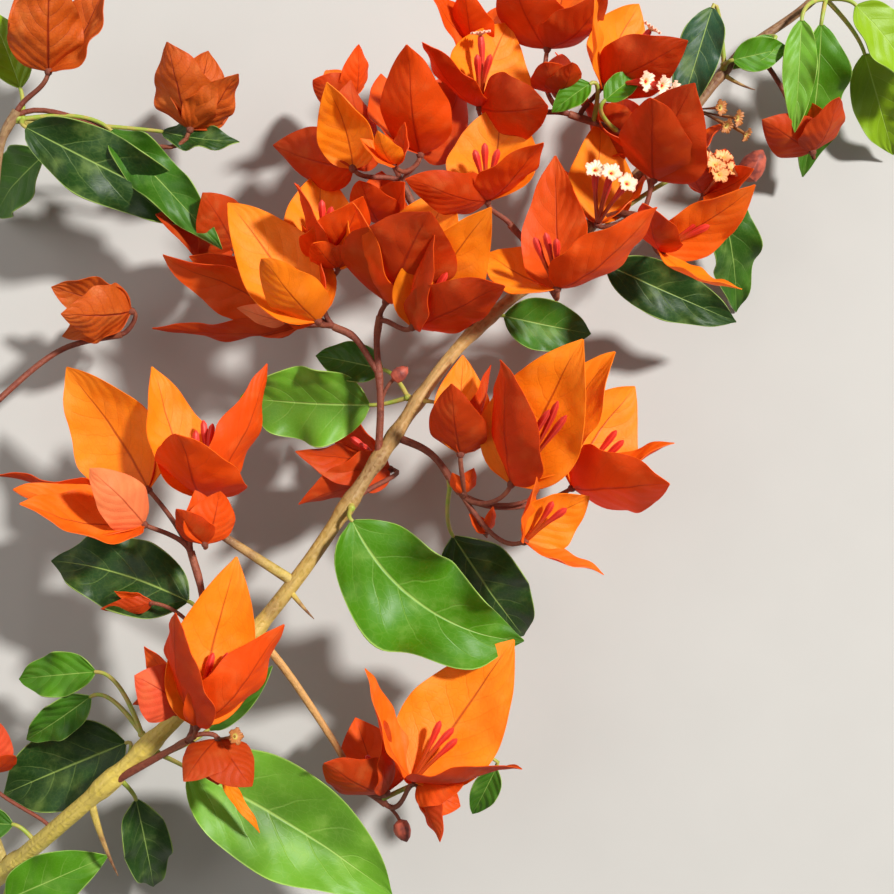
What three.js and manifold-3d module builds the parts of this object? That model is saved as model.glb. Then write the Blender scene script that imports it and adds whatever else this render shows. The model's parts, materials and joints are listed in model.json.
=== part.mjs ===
// A flowering branch of orange bougainvillea, cut from the bush and laid down on the ground.
// Millimetres, with +Z up from the ground. The main cane climbs from its cut end, at low X and
// low Y, arches over the ground and ends in a leafy tip at high X and high Y. A second cane forks
// off near the cut and runs up the low X side. Headings are degrees in the ground plane, counted
// from +X towards +Y, and a rise is degrees above that plane.

import * as THREE from "three";
import { mergeVertices } from "three/addons/utils/BufferGeometryUtils.js";
import Module from "manifold-3d";

const wasm = await Module();
wasm.setup();

// Driving sizes
const GAP = 0.3; // air between two pieces that meet
const SLIVER = 0.4; // edges finer than this are folded away after a cut
const STEPS = 24; // steps along the midrib of a blade
const KNOT_RADIUS = 1.3; // the knot beside a limb from which the stalks of a leaf spray leave
const FORK_SHARE = 0.45; // how much of a bloom's stalk belongs to the stem
const STALK_PULL = 0.35; // how far a stalk keeps its first and last direction, over its span

// Bracts and leaves: thickness over length, the powers that shape the outline towards the foot and
// the tip, the degrees each half is turned up about the midrib, and the steps along the midrib
// through which the faces are drawn, fewer on a bract that is shorter than its kind is under. A leaf
// is this wide over its length unless it says otherwise
const BRACT = { thick: 0.018, early: 0.5, late: 0.95, turn: 18, rows: [0, 3, 9, 17, 24] };
const SMALL_BRACT = { ...BRACT, under: 36, rows: [0, 7, 16, 24] };
const YOUNG_BRACT = { ...BRACT, under: 25, rows: [0, 12, 24] };
const LEAF = { width: 0.52, thick: 0.016, early: 0.62, late: 0.95, turn: 16, rows: [0, 4, 12, 24] };
const BRACT_BOW = 22; // degrees by which a bract leans out at its foot and in further on
const BRACT_FLARE = 22; // degrees by which its tip turns out again
const FLARE_START = 0.7; // where along a bract that begins
const BESIDE = 0.4; // a bract is beside another, not before or behind it, from this share on
const SHORT_OF = 0.94; // how near two bracts side by side come to the line between them
const FREE = 9; // room beside a blade with no neighbour, as half a width over the way along
const FOOT = 1.3; // half the width of a blade's foot
const THIN = 0.3; // half the thickness of the thinnest blade
const POINT_WIDTH = 0.012; // half the width of its tip over its length

const STALK = { foot: 0.85, tip: 0.8, sides: 3, rings: 2 }; // half of a bloom's stalk
const PETIOLE = { foot: 0.85, tip: 0.8, sides: 3, rings: 2 }; // a leaf's stalk
const STEM = { tip: 0.9, sides: 4, rings: 4 }; // a side stem, unless its own sizes say otherwise
const WAVES = 2.5; // waves along the edge of a wavy leaf
const LEAF_DROOP = 26; // degrees by which a leaf arches over from its foot to its tip

const DEG = Math.PI / 180;
const UP = new THREE.Vector3(0, 0, 1);

// Canes and stems: the limb and the share of its length from which each grows, points along its
// middle line, the radius at its foot and at its tip, and its sides and rings
const LIMBS = {
  main_cane: {
    points: [
      [-160, -153, 2.8],
      [-145, -139, 20],
      [-121, -118, 40],
      [-103, -102, 50],
      [-82, -82, 55],
      [-65, -64, 56],
      [-44, -38, 54],
      [-31, -19, 52],
      [-19, -1, 50],
      [4, 31, 46],
      [35, 59, 42],
      [54, 79, 41],
      [75, 103, 40],
      [91, 122, 37],
      [111, 137, 34],
      [123, 148, 31],
    ],
    foot: 2.9,
    tip: 1.3,
    sides: 6,
    rings: 18,
  },
  left_cane: {
    from: ["main_cane", 0.075],
    points: [
      [-149, -105, 30],
      [-149, -48, 34],
      [-147, 15, 36],
      [-142, 61, 38],
      [-138, 95, 40],
      [-133, 104, 41],
    ],
    foot: 1.7,
    tip: 1.2,
    sides: 5,
    rings: 9,
  },
  front_stem: {
    from: ["main_cane", 0.205],
    points: [[-94, -97, 55], [-84, -91, 60], [-76, -86, 66]],
    foot: 1.4,
  },
  left_stem: {
    from: ["main_cane", 0.3],
    points: [[-72, -58, 58], [-73, -42, 60], [-76, -31, 60]],
    foot: 1.2,
  },
  middle_stem: {
    from: ["main_cane", 0.362],
    points: [[-49, -66.5, 54], [-35, -88.7, 49], [-27, -103, 45], [-19, -110, 43]],
    foot: 1.3,
  },
  right_stem: {
    from: ["main_cane", 0.53],
    points: [[-5, -2, 50], [4, -14, 50]],
    foot: 1.3,
  },
  centre_stem: {
    from: ["main_cane", 0.51],
    points: [[-20, 14, 54], [-21, 32, 56], [-20, 39, 58]],
    foot: 1.2,
  },
  upper_left_stem: {
    from: ["centre_stem", 0.6],
    points: [[-28, 33, 56], [-34, 36, 56]],
    foot: 1.0,
  },
  upper_stem: {
    from: ["main_cane", 0.625],
    points: [[-1, 48, 50], [-7, 66, 50], [-13, 79, 50]],
    foot: 1.2,
  },
  crown_stem: {
    from: ["main_cane", 0.68],
    points: [[25, 60, 50], [19, 67, 54]],
    foot: 1.1,
  },
  crown_right_stem: {
    from: ["main_cane", 0.735],
    points: [[51, 71, 47], [57, 70, 52]],
    foot: 1.1,
  },
  top_stem: {
    from: ["main_cane", 0.81],
    points: [[50, 97, 48], [37, 101, 50]],
    foot: 1.1,
  },
  left_low_stem: {
    from: ["left_cane", 0.6],
    points: [[-124, 31, 24], [-104, 36, 26]],
    foot: 1.0,
  },
};

// Blooms: the limb and the share of its length that each stalk leaves from, and the point where
// the three bracts meet. Each bract has its heading, its rise, how far it lies flat, its length and
// its width over its length. It lies flat on its back at 1, stands on its edge at 0 and lies face
// down at -1
const BLOOMS = {
  left_1: {
    from: ["left_stem", 0.97],
    at: [-90, -23, 60],
    bracts: [[125, 45, -0.9, 31, 0.52], [161, 0, 0.55, 41, 0.62], [164, 32, 0.5, 38, 0.66]],
  },
  left_2: {
    from: ["left_stem", 0.85],
    at: [-91, -13, 48],
    bracts: [[126, 0, 0.97, 46, 0.66], [170, 0, -0.25, 49, 0.3], [95, -45, 0.5, 36, 0.6]],
  },
  left_3: {
    from: ["left_stem", 1],
    at: [-73, -15, 56],
    bracts: [[94, 52, -0.95, 36, 0.84], [109, 0, 0.8, 43, 0.5], [66, 0, -0.5, 45, 0.46]],
  },
  front_1: {
    from: ["front_stem", 1],
    at: [-71.5, -80, 76],
    bracts: [[76, 0, 0.95, 50, 0.54], [92, 32, -0.62, 42, 0.54], [53, 11, -0.62, 42, 0.56]],
  },
  front_2: {
    from: ["front_stem", 0.95],
    at: [-76, -75, 72],
    bracts: [[125, 0, 0.8, 21, 0.6], [178, -35, -0.6, 20, 0.6], [139, 33, -0.95, 20, 0.95]],
  },
  middle_1: {
    from: ["middle_stem", 0.9],
    at: [-18.5, -105.5, 47],
    bracts: [[142, 32, -0.85, 27, 0.85], [117, -36, 0.9, 29, 0.85], [93, 24, -0.35, 27, 0.6]],
  },
  middle_2: {
    from: ["middle_stem", 1],
    at: [-10.5, -100.5, 54],
    bracts: [[55, 0, 0.97, 53, 0.62], [106, 23, 0.22, 42, 0.42], [22, 36, -0.35, 42, 0.5]],
  },
  right_1: {
    from: ["right_stem", 1],
    at: [4, -2, 60],
    bracts: [[88, -12, 0.95, 31, 0.64], [97, 39, -0.95, 27, 0.68], [73, 0, -0.35, 28, 0.5]],
  },
  right_2: {
    from: ["right_stem", 1],
    at: [19, -11, 62],
    bracts: [[91, 28, -0.55, 42, 0.62], [66, 24, 0.97, 49, 0.66], [54, -7, 0.7, 52, 0.6]],
  },
  right_3: {
    from: ["right_stem", 0.9],
    at: [38, -12.4, 50],
    bracts: [[55, -16, 0.9, 40, 0.84], [30, 14, 0.25, 34, 0.5], [8, 51, -0.82, 42, 0.66]],
  },
  right_4: {
    from: ["right_stem", 1],
    at: [23, -28, 60],
    bracts: [[77, 36, 0.3, 24, 0.45], [32, 0, 0.9, 24, 0.84], [343, 0, 0.4, 26, 0.42]],
  },
  behind_1: {
    from: ["main_cane", 0.468],
    at: [-18, -7, 34],
    bracts: [[172, 22, -0.6, 32, 0.7], [147, -30, 0.7, 32, 0.7], [198, 20, -0.5, 32, 0.7]],
  },
  centre_1: {
    from: ["centre_stem", 1],
    at: [-18, 43, 62],
    bracts: [[62, 0, 0.95, 40, 0.72], [59, 51, -0.95, 43, 0.84], [101, 44, -0.4, 38, 0.42]],
  },
  centre_2: {
    from: ["centre_stem", 0.93],
    at: [-10, 35, 68],
    bracts: [[23, 44, -0.82, 41, 0.5], [54, 26, 0.95, 43, 0.6], [72, 40, -0.45, 33, 0.5]],
  },
  upper_left_1: {
    from: ["upper_left_stem", 1],
    at: [-38, 37, 64],
    bracts: [[126, 0, 0.96, 45, 0.62], [128, 45, -0.92, 32, 0.56], [108, -25, 0.75, 40, 0.66]],
  },
  upper_left_2: {
    from: ["upper_left_stem", 1],
    at: [-44, 37, 52],
    bracts: [[150, -5, 0.8, 42, 0.6], [157, 0, 0.75, 48, 0.44], [178, -9, -0.45, 47, 0.24]],
  },
  upper_left_3: {
    from: ["upper_left_stem", 0.8],
    at: [-68, 63, 28],
    bracts: [[156, 41, 0.85, 29, 0.7], [116, 54, -0.85, 28, 0.75], [104, -35, 0.7, 24, 0.6]],
  },
  upper_1: {
    from: ["upper_stem", 1],
    at: [-28, 83, 58],
    bracts: [[109, 44, 0.95, 29, 0.62], [96, -20, -0.75, 30, 0.75], [158, -24, -0.8, 29, 0.75]],
  },
  upper_2: {
    from: ["upper_left_stem", 0.9],
    at: [-37, 55, 56],
    bracts: [[100, 50, -0.35, 33, 0.6], [92, -17, 0.93, 32, 0.8], [54, 47, -0.65, 32, 0.7]],
  },
  upper_3: {
    from: ["upper_stem", 1],
    at: [-8, 88, 54],
    bracts: [[95, 41, -0.95, 38, 0.6], [112, -22, 0.75, 34, 0.72], [66, -20, -0.75, 34, 0.72]],
  },
  upper_4: {
    from: ["upper_stem", 0.9],
    at: [-29, 110, 34],
    bracts: [[86, 37, -0.7, 18, 0.76], [165, 43, -0.8, 18, 0.76], [125, -32, 0.8, 18, 0.76]],
  },
  crown_1: {
    from: ["crown_stem", 1],
    at: [12, 73, 60],
    bracts: [[83, -11, 0.95, 33, 0.88], [170, 42, -0.8, 35, 0.44], [45, 51, -0.45, 32, 0.6]],
  },
  crown_2: {
    from: ["main_cane", 0.675],
    at: [32, 46, 70],
    bracts: [[91, -9, 0.9, 42, 0.52], [147, -33, 0.88, 30, 0.8], [41, 31, -0.62, 40, 0.56]],
  },
  crown_3: {
    from: ["crown_right_stem", 0.9],
    at: [46, 68, 48],
    bracts: [[87, -3, 0.95, 34, 0.66], [116, -34, 0.6, 32, 0.6], [50, -22, 0.6, 30, 0.6]],
  },
  crown_4: {
    from: ["crown_right_stem", 1],
    at: [62, 80, 56],
    bracts: [[100, 53, -0.82, 35, 0.7], [69, 45, -0.92, 36, 0.78], [44, -20, 0.4, 34, 0.6]],
  },
  crown_5: {
    from: ["crown_right_stem", 1],
    at: [64, 58, 58],
    bracts: [[32, 37, 0.88, 35, 0.5], [328, 46, 0.35, 34, 0.42], [124, 61, -0.55, 31, 0.5]],
  },
  top_1: {
    from: ["top_stem", 1],
    at: [10, 103, 50],
    bracts: [[71, -12, 0.95, 31, 0.95], [350, 45, -0.88, 31, 0.74], [134, 47, -0.35, 33, 0.5]],
  },
  top_2: {
    from: ["top_stem", 1],
    at: [31, 123, 42],
    bracts: [[117, 35, -0.75, 32, 0.72], [78, -12, 0.9, 33, 0.74], [38, 48, -0.6, 30, 0.66]],
  },
  top_3: {
    from: ["top_stem", 0.85],
    at: [47, 109, 52],
    bracts: [[20, 43, -0.88, 33, 0.64], [64, -14, 0.88, 32, 0.74], [99, 48, 0.35, 32, 0.36]],
  },
  papery_1: {
    from: ["left_cane", 1],
    at: [-122, 115, 46],
    bracts: [[105, -8, 0.9, 33, 0.66], [58, 2, 0.85, 33, 0.66], [76, 37, -0.85, 33, 0.72]],
  },
  papery_2: {
    from: ["left_cane", 0.98],
    at: [-80, 99, 38],
    bracts: [[100, 27, -0.9, 28, 0.84], [78, -12, 0.85, 28, 0.8], [48, 22, -0.6, 25, 0.66]],
  },
  papery_3: {
    from: ["left_low_stem", 1],
    at: [-100, 43, 30],
    bracts: [[165, 8, 0.8, 26, 0.76], [196, -14, 0.8, 26, 0.76], [186, 44, -0.85, 26, 0.76]],
  },
  tip_1: {
    from: ["main_cane", 0.905],
    at: [115, 93, 33],
    bracts: [[154, 24, -0.8, 22, 0.76], [96, -26, 0.8, 22, 0.76], [78, 46, -0.8, 22, 0.76]],
  },
};

// Second blooms, most of them young, whose stalk leaves the stalk of the bloom of the same name
// and which are one solid with it
const PARTNERS = {
  left_3: {
    at: [-70, -28, 72],
    bracts: [[74, 12, -0.85, 17, 1], [122, 22, -0.85, 14, 0.95], [98, 2, 0.8, 16, 0.9]],
  },
  front_1: {
    at: [-66, -84, 74],
    bracts: [[234, 30, -0.85, 16, 1], [310, 22, -0.8, 18, 0.95], [268, -20, 0.9, 16, 1.1]],
  },
  middle_2: {
    at: [-9, -102, 52],
    bracts: [[4, 34, -0.6, 18, 0.8], [300, 26, -0.6, 19, 0.7], [330, -20, 0.9, 17, 0.9]],
  },
  upper_3: {
    at: [-15, 82, 68],
    bracts: [[117, 38, -0.7, 13, 0.8], [140, 10, 0.6, 13, 0.8], [80, 10, 0.6, 13, 0.8]],
  },
  top_1: {
    at: [8.4, 124.8, 38],
    bracts: [[137, 49, 0.8, 24, 0.6], [102, 51, -0.8, 22, 0.7], [63, -28, 0.7, 22, 0.7]],
  },
  top_2: {
    at: [33.2, 106, 56],
    bracts: [[128, 61, -0.85, 17, 0.8], [66, 66, -0.8, 17, 0.7], [86, -20, 0.9, 15, 0.8]],
  },
  crown_4: {
    at: [56, 90.3, 46],
    bracts: [[122, 0, 0.3, 39, 0.3], [126, -30, -0.7, 24, 0.8], [101, -34, 0.8, 26, 0.7]],
  },
  crown_5: {
    at: [78.6, 77.4, 46],
    bracts: [[24, 57, 0.85, 22, 0.6], [64, -29, 0.85, 22, 0.7], [126, 57, -0.6, 20, 0.6]],
  },
  upper_2: {
    at: [-32, 52.6, 64],
    bracts: [[76, 41, 0.85, 17, 0.6], [132, 51, -0.85, 15, 0.8], [44, 53, -0.8, 15, 0.8]],
  },
  centre_1: {
    at: [-19.6, 67.6, 46],
    bracts: [[115, 52, -0.8, 22, 0.8], [59, 51, 0.8, 20, 0.8], [90, -18, 0.9, 20, 0.9]],
  },
};
const PARTNER_FORK = 0.6; // where along the first bloom's stalk the second one's leaves it

// Leaf sprays: the limb and the share of its length that the leaf stalks leave from. Each leaf
// has the point where its blade begins, its heading, rise, roll about the midrib and length
const SPRAYS = {
  wide_leaf: {
    from: ["main_cane", 0.475],
    leaves: [
      { at: [-28, -22, 60], heading: -35, rise: -12, roll: 6, length: 68, sway: 56, width: 0.5, wave: 0.06 },
    ],
  },
  front_leaf: {
    from: ["main_cane", 0.25],
    leaves: [{ at: [-79, -98, 48], heading: -34, rise: -7, roll: -8, length: 76, sway: -16, width: 0.46 }],
  },
  left_dark_leaf: {
    from: ["left_stem", 0.35],
    leaves: [{ at: [-79, -47, 48], heading: 166, rise: -14, roll: 12, length: 48, sway: 20, wave: 0.05 }],
  },
  low_left_leaves: {
    from: ["main_cane", 0.215],
    leaves: [
      { at: [-101, -93, 34], heading: -156, rise: -12, roll: 10, length: 46, width: 0.62 },
      { at: [-96, -109, 42], heading: -90, rise: -38, roll: -24, length: 44, width: 0.36 },
    ],
  },
  corner_leaf: {
    from: ["main_cane", 0.09],
    leaves: [{ at: [-139, -143, 31], heading: 24, rise: 4, roll: -10, length: 36 }],
  },
  pale_leaves: {
    from: ["main_cane", 0.56],
    leaves: [
      { at: [-24, 13, 42], heading: 176, rise: -14, roll: -16, length: 43, width: 0.6, wave: 0.04 },
      { at: [-20, 24, 42], heading: 168, rise: -12, roll: 6, length: 22, width: 0.6 },
    ],
  },
  shaded_leaf: {
    from: ["right_stem", 0.8],
    leaves: [{ at: [2, -28, 36], heading: -56, rise: -38, roll: 8, length: 54, width: 0.5 }],
  },
  centre_leaf: {
    from: ["main_cane", 0.64],
    leaves: [{ at: [18, 41, 36], heading: -10, rise: -18, roll: 10, length: 30, width: 0.58 }],
  },
  right_leaves: {
    from: ["main_cane", 0.75],
    leaves: [
      { at: [50, 57, 36], heading: -22, rise: -12, roll: 12, length: 47, width: 0.38 },
      { at: [86, 84, 30], heading: -74, rise: -36, roll: -12, length: 50, width: 0.36 },
    ],
  },
  blue_leaf: {
    from: ["main_cane", 0.885],
    leaves: [
      { at: [81, 134, 47], heading: -107, rise: -3, roll: 4, length: 37, width: 0.38 },
      { at: [88, 119, 44], heading: 14, rise: -6, roll: 10, length: 18, width: 0.6 },
    ],
  },
  tip_leaves: {
    from: ["main_cane", 0.985],
    leaves: [
      { at: [109, 131, 44], heading: -92, rise: -7, roll: 8, length: 34, width: 0.32 },
      { at: [117, 132, 36], heading: -90, rise: -30, roll: -12, length: 50, width: 0.38 },
      { at: [128, 138, 36], heading: -48, rise: -12, roll: -10, length: 34 },
      { at: [134, 126, 24], heading: -62, rise: -32, roll: 20, length: 38, width: 0.46 },
    ],
  },
  far_left_leaves: {
    from: ["left_cane", 0.99],
    leaves: [
      { at: [-129, 98, 45], heading: -26, rise: -10, roll: 8, length: 66, width: 0.34, wave: 0.04 },
      { at: [-104, 98, 40], heading: -47, rise: 2, roll: -8, length: 51, width: 0.3 },
      { at: [-133, 112, 38], heading: 112, rise: -4, roll: 20, length: 27 },
      { at: [-128, 92, 30], heading: -150, rise: -48, roll: 10, length: 40 },
    ],
  },
  side_shoot: {
    from: ["main_cane", 0.255],
    leaves: [
      { at: [-110, -77, 43], heading: -146, rise: -18, roll: -10, length: 28, width: 0.44 },
      { at: [-108, -69, 45], heading: -172, rise: -20, roll: 12, length: 28 },
    ],
  },
};

// Colour and finish: a node's name starts with one of these words, or it is fresh
const LOOKS = {
  cane: { color: "#a98a45", roughness: 0.7 },
  stem: { color: "#6b3324", roughness: 0.65 },
  leaf: { color: "#4f8f22", roughness: 0.4 },
  papery: { color: "#c9571c", roughness: 0.75 },
  fresh: { color: "#f26a16", roughness: 0.6 },
};

const vector = ([x, y, z]) => new THREE.Vector3(x, y, z);

function aim([heading, rise]) {
  const level = Math.cos(rise * DEG);
  return new THREE.Vector3(
    level * Math.cos(heading * DEG),
    level * Math.sin(heading * DEG),
    Math.sin(rise * DEG),
  );
}

function solidFrom(points, triangles) {
  return new wasm.Manifold(
    new wasm.Mesh({
      numProp: 3,
      vertProperties: new Float32Array(points),
      triVerts: new Uint32Array(triangles),
    }),
  );
}

// A closed solid through rings of points, each going round the same way, with flat ends. On a
// blade the faces beside the midrib mirror each other, and those above match those below.
function skin(rings) {
  const sides = rings[0].length;
  const triangles = [];
  for (let i = 0; i + 1 < rings.length; i++) {
    for (let j = 0; j < sides; j++) {
      const a = i * sides + j;
      const b = i * sides + ((j + 1) % sides);
      if (j % 3 === 1) triangles.push(a, b, a + sides, b, b + sides, a + sides);
      else triangles.push(a, b, b + sides, a, b + sides, a + sides);
    }
  }
  const last = (rings.length - 1) * sides;
  const cap = (a, b, c) => triangles.push(a, c, b, last + a, last + b, last + c);
  for (let near = 0, far = sides - 1; near + 1 < far; near++, far--) {
    cap(near, near + 1, far);
    if (near + 2 < far) cap(near + 1, far - 1, far);
  }
  return solidFrom(rings.flat().flatMap((p) => [p.x, p.y, p.z]), triangles);
}

function ball(at, radius) {
  const shape = new THREE.OctahedronGeometry(radius, 0).translate(at.x, at.y, at.z);
  shape.deleteAttribute("normal");
  shape.deleteAttribute("uv");
  const merged = mergeVertices(shape);
  return solidFrom(merged.attributes.position.array, merged.index.array);
}

// The middle line of a limb, through its points from where it leaves its parent.
const curves = {};
function curveOf(name) {
  if (!curves[name]) {
    const { from, points } = LIMBS[name];
    const line = points.map(vector);
    if (from) line.unshift(curveOf(from[0]).getPointAt(from[1]));
    curves[name] = new THREE.CatmullRomCurve3(line);
  }
  return curves[name];
}

// Points evenly round a centre, square to a direction, the first of them on the side given.
function ringAt(centre, along, side, radius, sides) {
  return Array.from({ length: sides }, (_, j) => {
    const spoke = side.clone().applyAxisAngle(along, (2 * Math.PI * j) / sides);
    return centre.clone().addScaledVector(spoke, radius);
  });
}

// A tapering rod along the stretch of a curve between two shares of its length.
function rod(curve, { foot, tip, sides, rings, start = 0, end = 1 }, grow) {
  const loops = [];
  const side = new THREE.Vector3();
  for (let i = 0; i <= rings; i++) {
    const share = start + ((end - start) * i) / rings;
    const along = curve.getTangentAt(share);
    if (i === 0) side.copy(Math.abs(along.z) > 0.9 ? new THREE.Vector3(1, 0, 0) : UP);
    side.addScaledVector(along, -side.dot(along)).normalize();
    const radius = foot + ((tip - foot) * i) / rings + grow;
    loops.push(ringAt(curve.getPointAt(share), along, side, radius, sides));
  }
  return skin(loops);
}

// How wide a blade is, over its greatest width, at a share of its length.
function outline({ early, late }, share) {
  const widest = early / (early + late);
  return (share / widest) ** early * ((1 - share) / (1 - widest)) ** late;
}

// A thin curved blade, bract or leaf. Its midrib bends up and down as lean says and sideways as
// sway says, each half is turned up about the midrib, and its edges may wave.
function blade(kind, spec, grow) {
  const { at, forward, face, length, lean, width = kind.width, sway = 0, wave = 0, room = [] } = spec;
  const left = new THREE.Vector3().crossVectors(face, forward);
  const turn = kind.turn * DEG;
  const thick = Math.max((kind.thick * length) / 2, THIN) + grow;
  const centre = at.clone();
  const loops = [];
  for (let step = 0; step <= STEPS; step++) {
    const share = step / STEPS;
    const pitch = lean(share) * DEG;
    const yaw = sway * (share - 0.5) * DEG;
    const ahead = forward.clone().multiplyScalar(Math.cos(yaw)).addScaledVector(left, Math.sin(yaw));
    const along = ahead.clone().multiplyScalar(Math.cos(pitch)).addScaledVector(face, Math.sin(pitch));
    const above = face.clone().multiplyScalar(Math.cos(pitch)).addScaledVector(ahead, -Math.sin(pitch));
    if (kind.rows.includes(step)) {
      const beside = new THREE.Vector3().crossVectors(above, along);
      const least = step === 0 ? FOOT : POINT_WIDTH * length;
      const half = Math.max((outline(kind, share) * width * length) / 2, least) + grow;
      const row = [1, 0, -1].map((edge) => {
        const ripple = wave * length * Math.sin(2 * Math.PI * WAVES * share + edge) * outline(kind, share);
        const reach = Math.min(half, least + grow + (room[edge + 1] ?? FREE) * share * length);
        const lift = Math.abs(edge) * (reach * Math.sin(turn) + ripple);
        const across = edge * reach * Math.cos(turn);
        return centre.clone().addScaledVector(beside, across).addScaledVector(above, lift);
      });
      const over = row.map((p) => p.clone().addScaledVector(above, thick));
      const under = row.map((p) => p.clone().addScaledVector(above, -thick));
      loops.push([...over, ...under.reverse()]);
    }
    centre.addScaledVector(along, length / STEPS);
  }
  return skin(loops);
}

// A bloom's middle is the mean of its bracts' directions.
function middleOf({ bracts }) {
  const sum = new THREE.Vector3();
  bracts.forEach((bract) => sum.add(aim(bract)));
  return sum.normalize();
}

// A stalk leaves a curve at a share of it and comes to its head along the way the head faces.
function stalkOf(curve, share, at, way) {
  const foot = curve.getPointAt(share);
  const head = vector(at);
  const pull = STALK_PULL * foot.distanceTo(head);
  return new THREE.CubicBezierCurve3(
    foot,
    foot.clone().addScaledVector(curve.getTangentAt(share), pull),
    head.clone().addScaledVector(way, -pull),
    head,
  );
}

const bloomStalk = (bloom) => stalkOf(curveOf(bloom.from[0]), bloom.from[1], bloom.at, middleOf(bloom));

function bractLean(share) {
  const flare = Math.max(0, (share - FLARE_START) / (1 - FLARE_START));
  return BRACT_BOW * (2 * share - 1) - BRACT_FLARE * flare;
}

// The way the inner side of a bract faces: up as far as the bract lies flat, and for the rest to
// the middle of its bloom.
function bractFace(forward, middle, flat) {
  const upper = UP.clone().addScaledVector(forward, -forward.z).normalize();
  const beside = new THREE.Vector3().crossVectors(forward, upper);
  const inward = Math.sign(beside.dot(middle)) * Math.sqrt(1 - flat ** 2);
  return upper.multiplyScalar(flat).addScaledVector(beside, inward);
}

// The three bracts that cup the middle of a bloom. Where one reaches over the next beside it,
// both stop short of the line between them.
function bractsOf(bloom, grow) {
  const at = vector(bloom.at);
  const middle = middleOf(bloom);
  const ways = bloom.bracts.map(aim);
  return bloom.bracts.map(([, , flat, length, width], number) => {
    const forward = ways[number];
    const face = bractFace(forward, middle, flat);
    const left = new THREE.Vector3().crossVectors(face, forward);
    const room = [FREE, FREE, FREE];
    for (const way of ways) {
      const apart = forward.angleTo(way);
      const beside = left.dot(way) / Math.sin(apart);
      if (way !== forward && Math.abs(beside) > BESIDE) {
        const side = 1 + Math.sign(beside);
        room[side] = Math.min(room[side], Math.tan(apart / 2) * SHORT_OF);
      }
    }
    const kind = [YOUNG_BRACT, SMALL_BRACT].find(({ under }) => length < under) ?? BRACT;
    return blade(kind, { at, forward, face, length, width, lean: bractLean, room }, grow);
  });
}

function buildBloom(name, grow) {
  const bloom = BLOOMS[name];
  const stalk = bloomStalk(bloom);
  const parts = [...bractsOf(bloom, grow), rod(stalk, { ...STALK, start: FORK_SHARE }, grow)];
  const partner = PARTNERS[name];
  if (partner) {
    const side = stalkOf(stalk, PARTNER_FORK, partner.at, middleOf(partner));
    parts.push(...bractsOf(partner, grow), rod(side, STALK, grow));
  }
  return wasm.Manifold.union(parts);
}

// A cane or stem with the first stretch of every stalk that leaves it.
function buildLimb(name, grow) {
  const parts = [rod(curveOf(name), { ...STEM, ...LIMBS[name] }, grow)];
  for (const bloom of Object.values(BLOOMS)) {
    if (bloom.from[0] === name) {
      parts.push(rod(bloomStalk(bloom), { ...STALK, end: FORK_SHARE }, grow));
    }
  }
  return wasm.Manifold.union(parts);
}

function limbRadius(name, share) {
  const { foot, tip } = { ...STEM, ...LIMBS[name] };
  return foot + (tip - foot) * share;
}

// A leaf spray: its stalks leave one knot beside the limb.
function buildSpray(name, grow) {
  const { from, leaves } = SPRAYS[name];
  const core = curveOf(from[0]).getPointAt(from[1]);
  const out = new THREE.Vector3();
  leaves.forEach((leaf) => out.add(vector(leaf.at).sub(core).normalize()));
  const reach = limbRadius(...from) + GAP + KNOT_RADIUS;
  const knot = core.addScaledVector(out.normalize(), reach);
  const parts = [ball(knot, KNOT_RADIUS + grow)];
  leaves.forEach((leaf) => {
    const at = vector(leaf.at);
    const forward = aim([leaf.heading, leaf.rise]);
    const face = UP.clone().addScaledVector(forward, -forward.z).normalize();
    face.applyAxisAngle(forward, leaf.roll * DEG);
    const lean = (share) => LEAF_DROOP * (0.5 - share);
    const pull = forward.clone().multiplyScalar(-STALK_PULL * knot.distanceTo(at));
    const petiole = new THREE.QuadraticBezierCurve3(knot, pull.add(at), at);
    parts.push(rod(petiole, PETIOLE, grow));
    parts.push(blade(LEAF, { ...leaf, at, forward, face, lean }, grow));
  });
  return wasm.Manifold.union(parts);
}

// The solids placed so far, each with a slightly fuller copy that later ones keep clear of.
const placed = [];

function boxesMeet(a, b) {
  return [0, 1, 2].every((axis) => a.min[axis] < b.max[axis] && b.min[axis] < a.max[axis]);
}

function place(name, build, look) {
  let solid = build(name, 0);
  for (const other of placed) {
    if (boxesMeet(solid.boundingBox(), other.fuller.boundingBox())) {
      solid = solid.subtract(other.fuller);
    }
  }
  const pieces = solid.simplify(SLIVER).decompose().sort((a, b) => b.volume() - a.volume());
  placed.push({ name, look, solid: pieces[0], fuller: build(name, GAP) });
}

const lookOf = (name) => LOOKS[Object.keys(LOOKS).find((start) => name.startsWith(start))] ?? LOOKS.fresh;

for (const name of Object.keys(LIMBS)) {
  place(name, buildLimb, name === "main_cane" ? LOOKS.cane : LOOKS.stem);
}
Object.keys(BLOOMS).forEach((name) => place(name, buildBloom, lookOf(name)));
Object.keys(SPRAYS).forEach((name) => place(name, buildSpray, LOOKS.leaf));

function meshOf({ name, look, solid }) {
  const { vertProperties, triVerts } = solid.getMesh();
  const geometry = new THREE.BufferGeometry();
  geometry.setAttribute("position", new THREE.BufferAttribute(vertProperties, 3));
  geometry.setIndex(new THREE.BufferAttribute(triVerts, 1));
  const material = new THREE.MeshStandardMaterial({ ...look, metalness: 0, flatShading: true });
  const mesh = new THREE.Mesh(geometry, material);
  mesh.name = name;
  return mesh;
}

// The origin is under the middle of the branch, on the ground.
const branch = new THREE.Group();
branch.name = "bougainvillea_branch";
branch.add(...placed.map(meshOf));
const box = new THREE.Box3().setFromObject(branch);
const middle = box.getCenter(new THREE.Vector3());
branch.position.set(-middle.x, -middle.y, -box.min.z);

export default branch;
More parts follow.
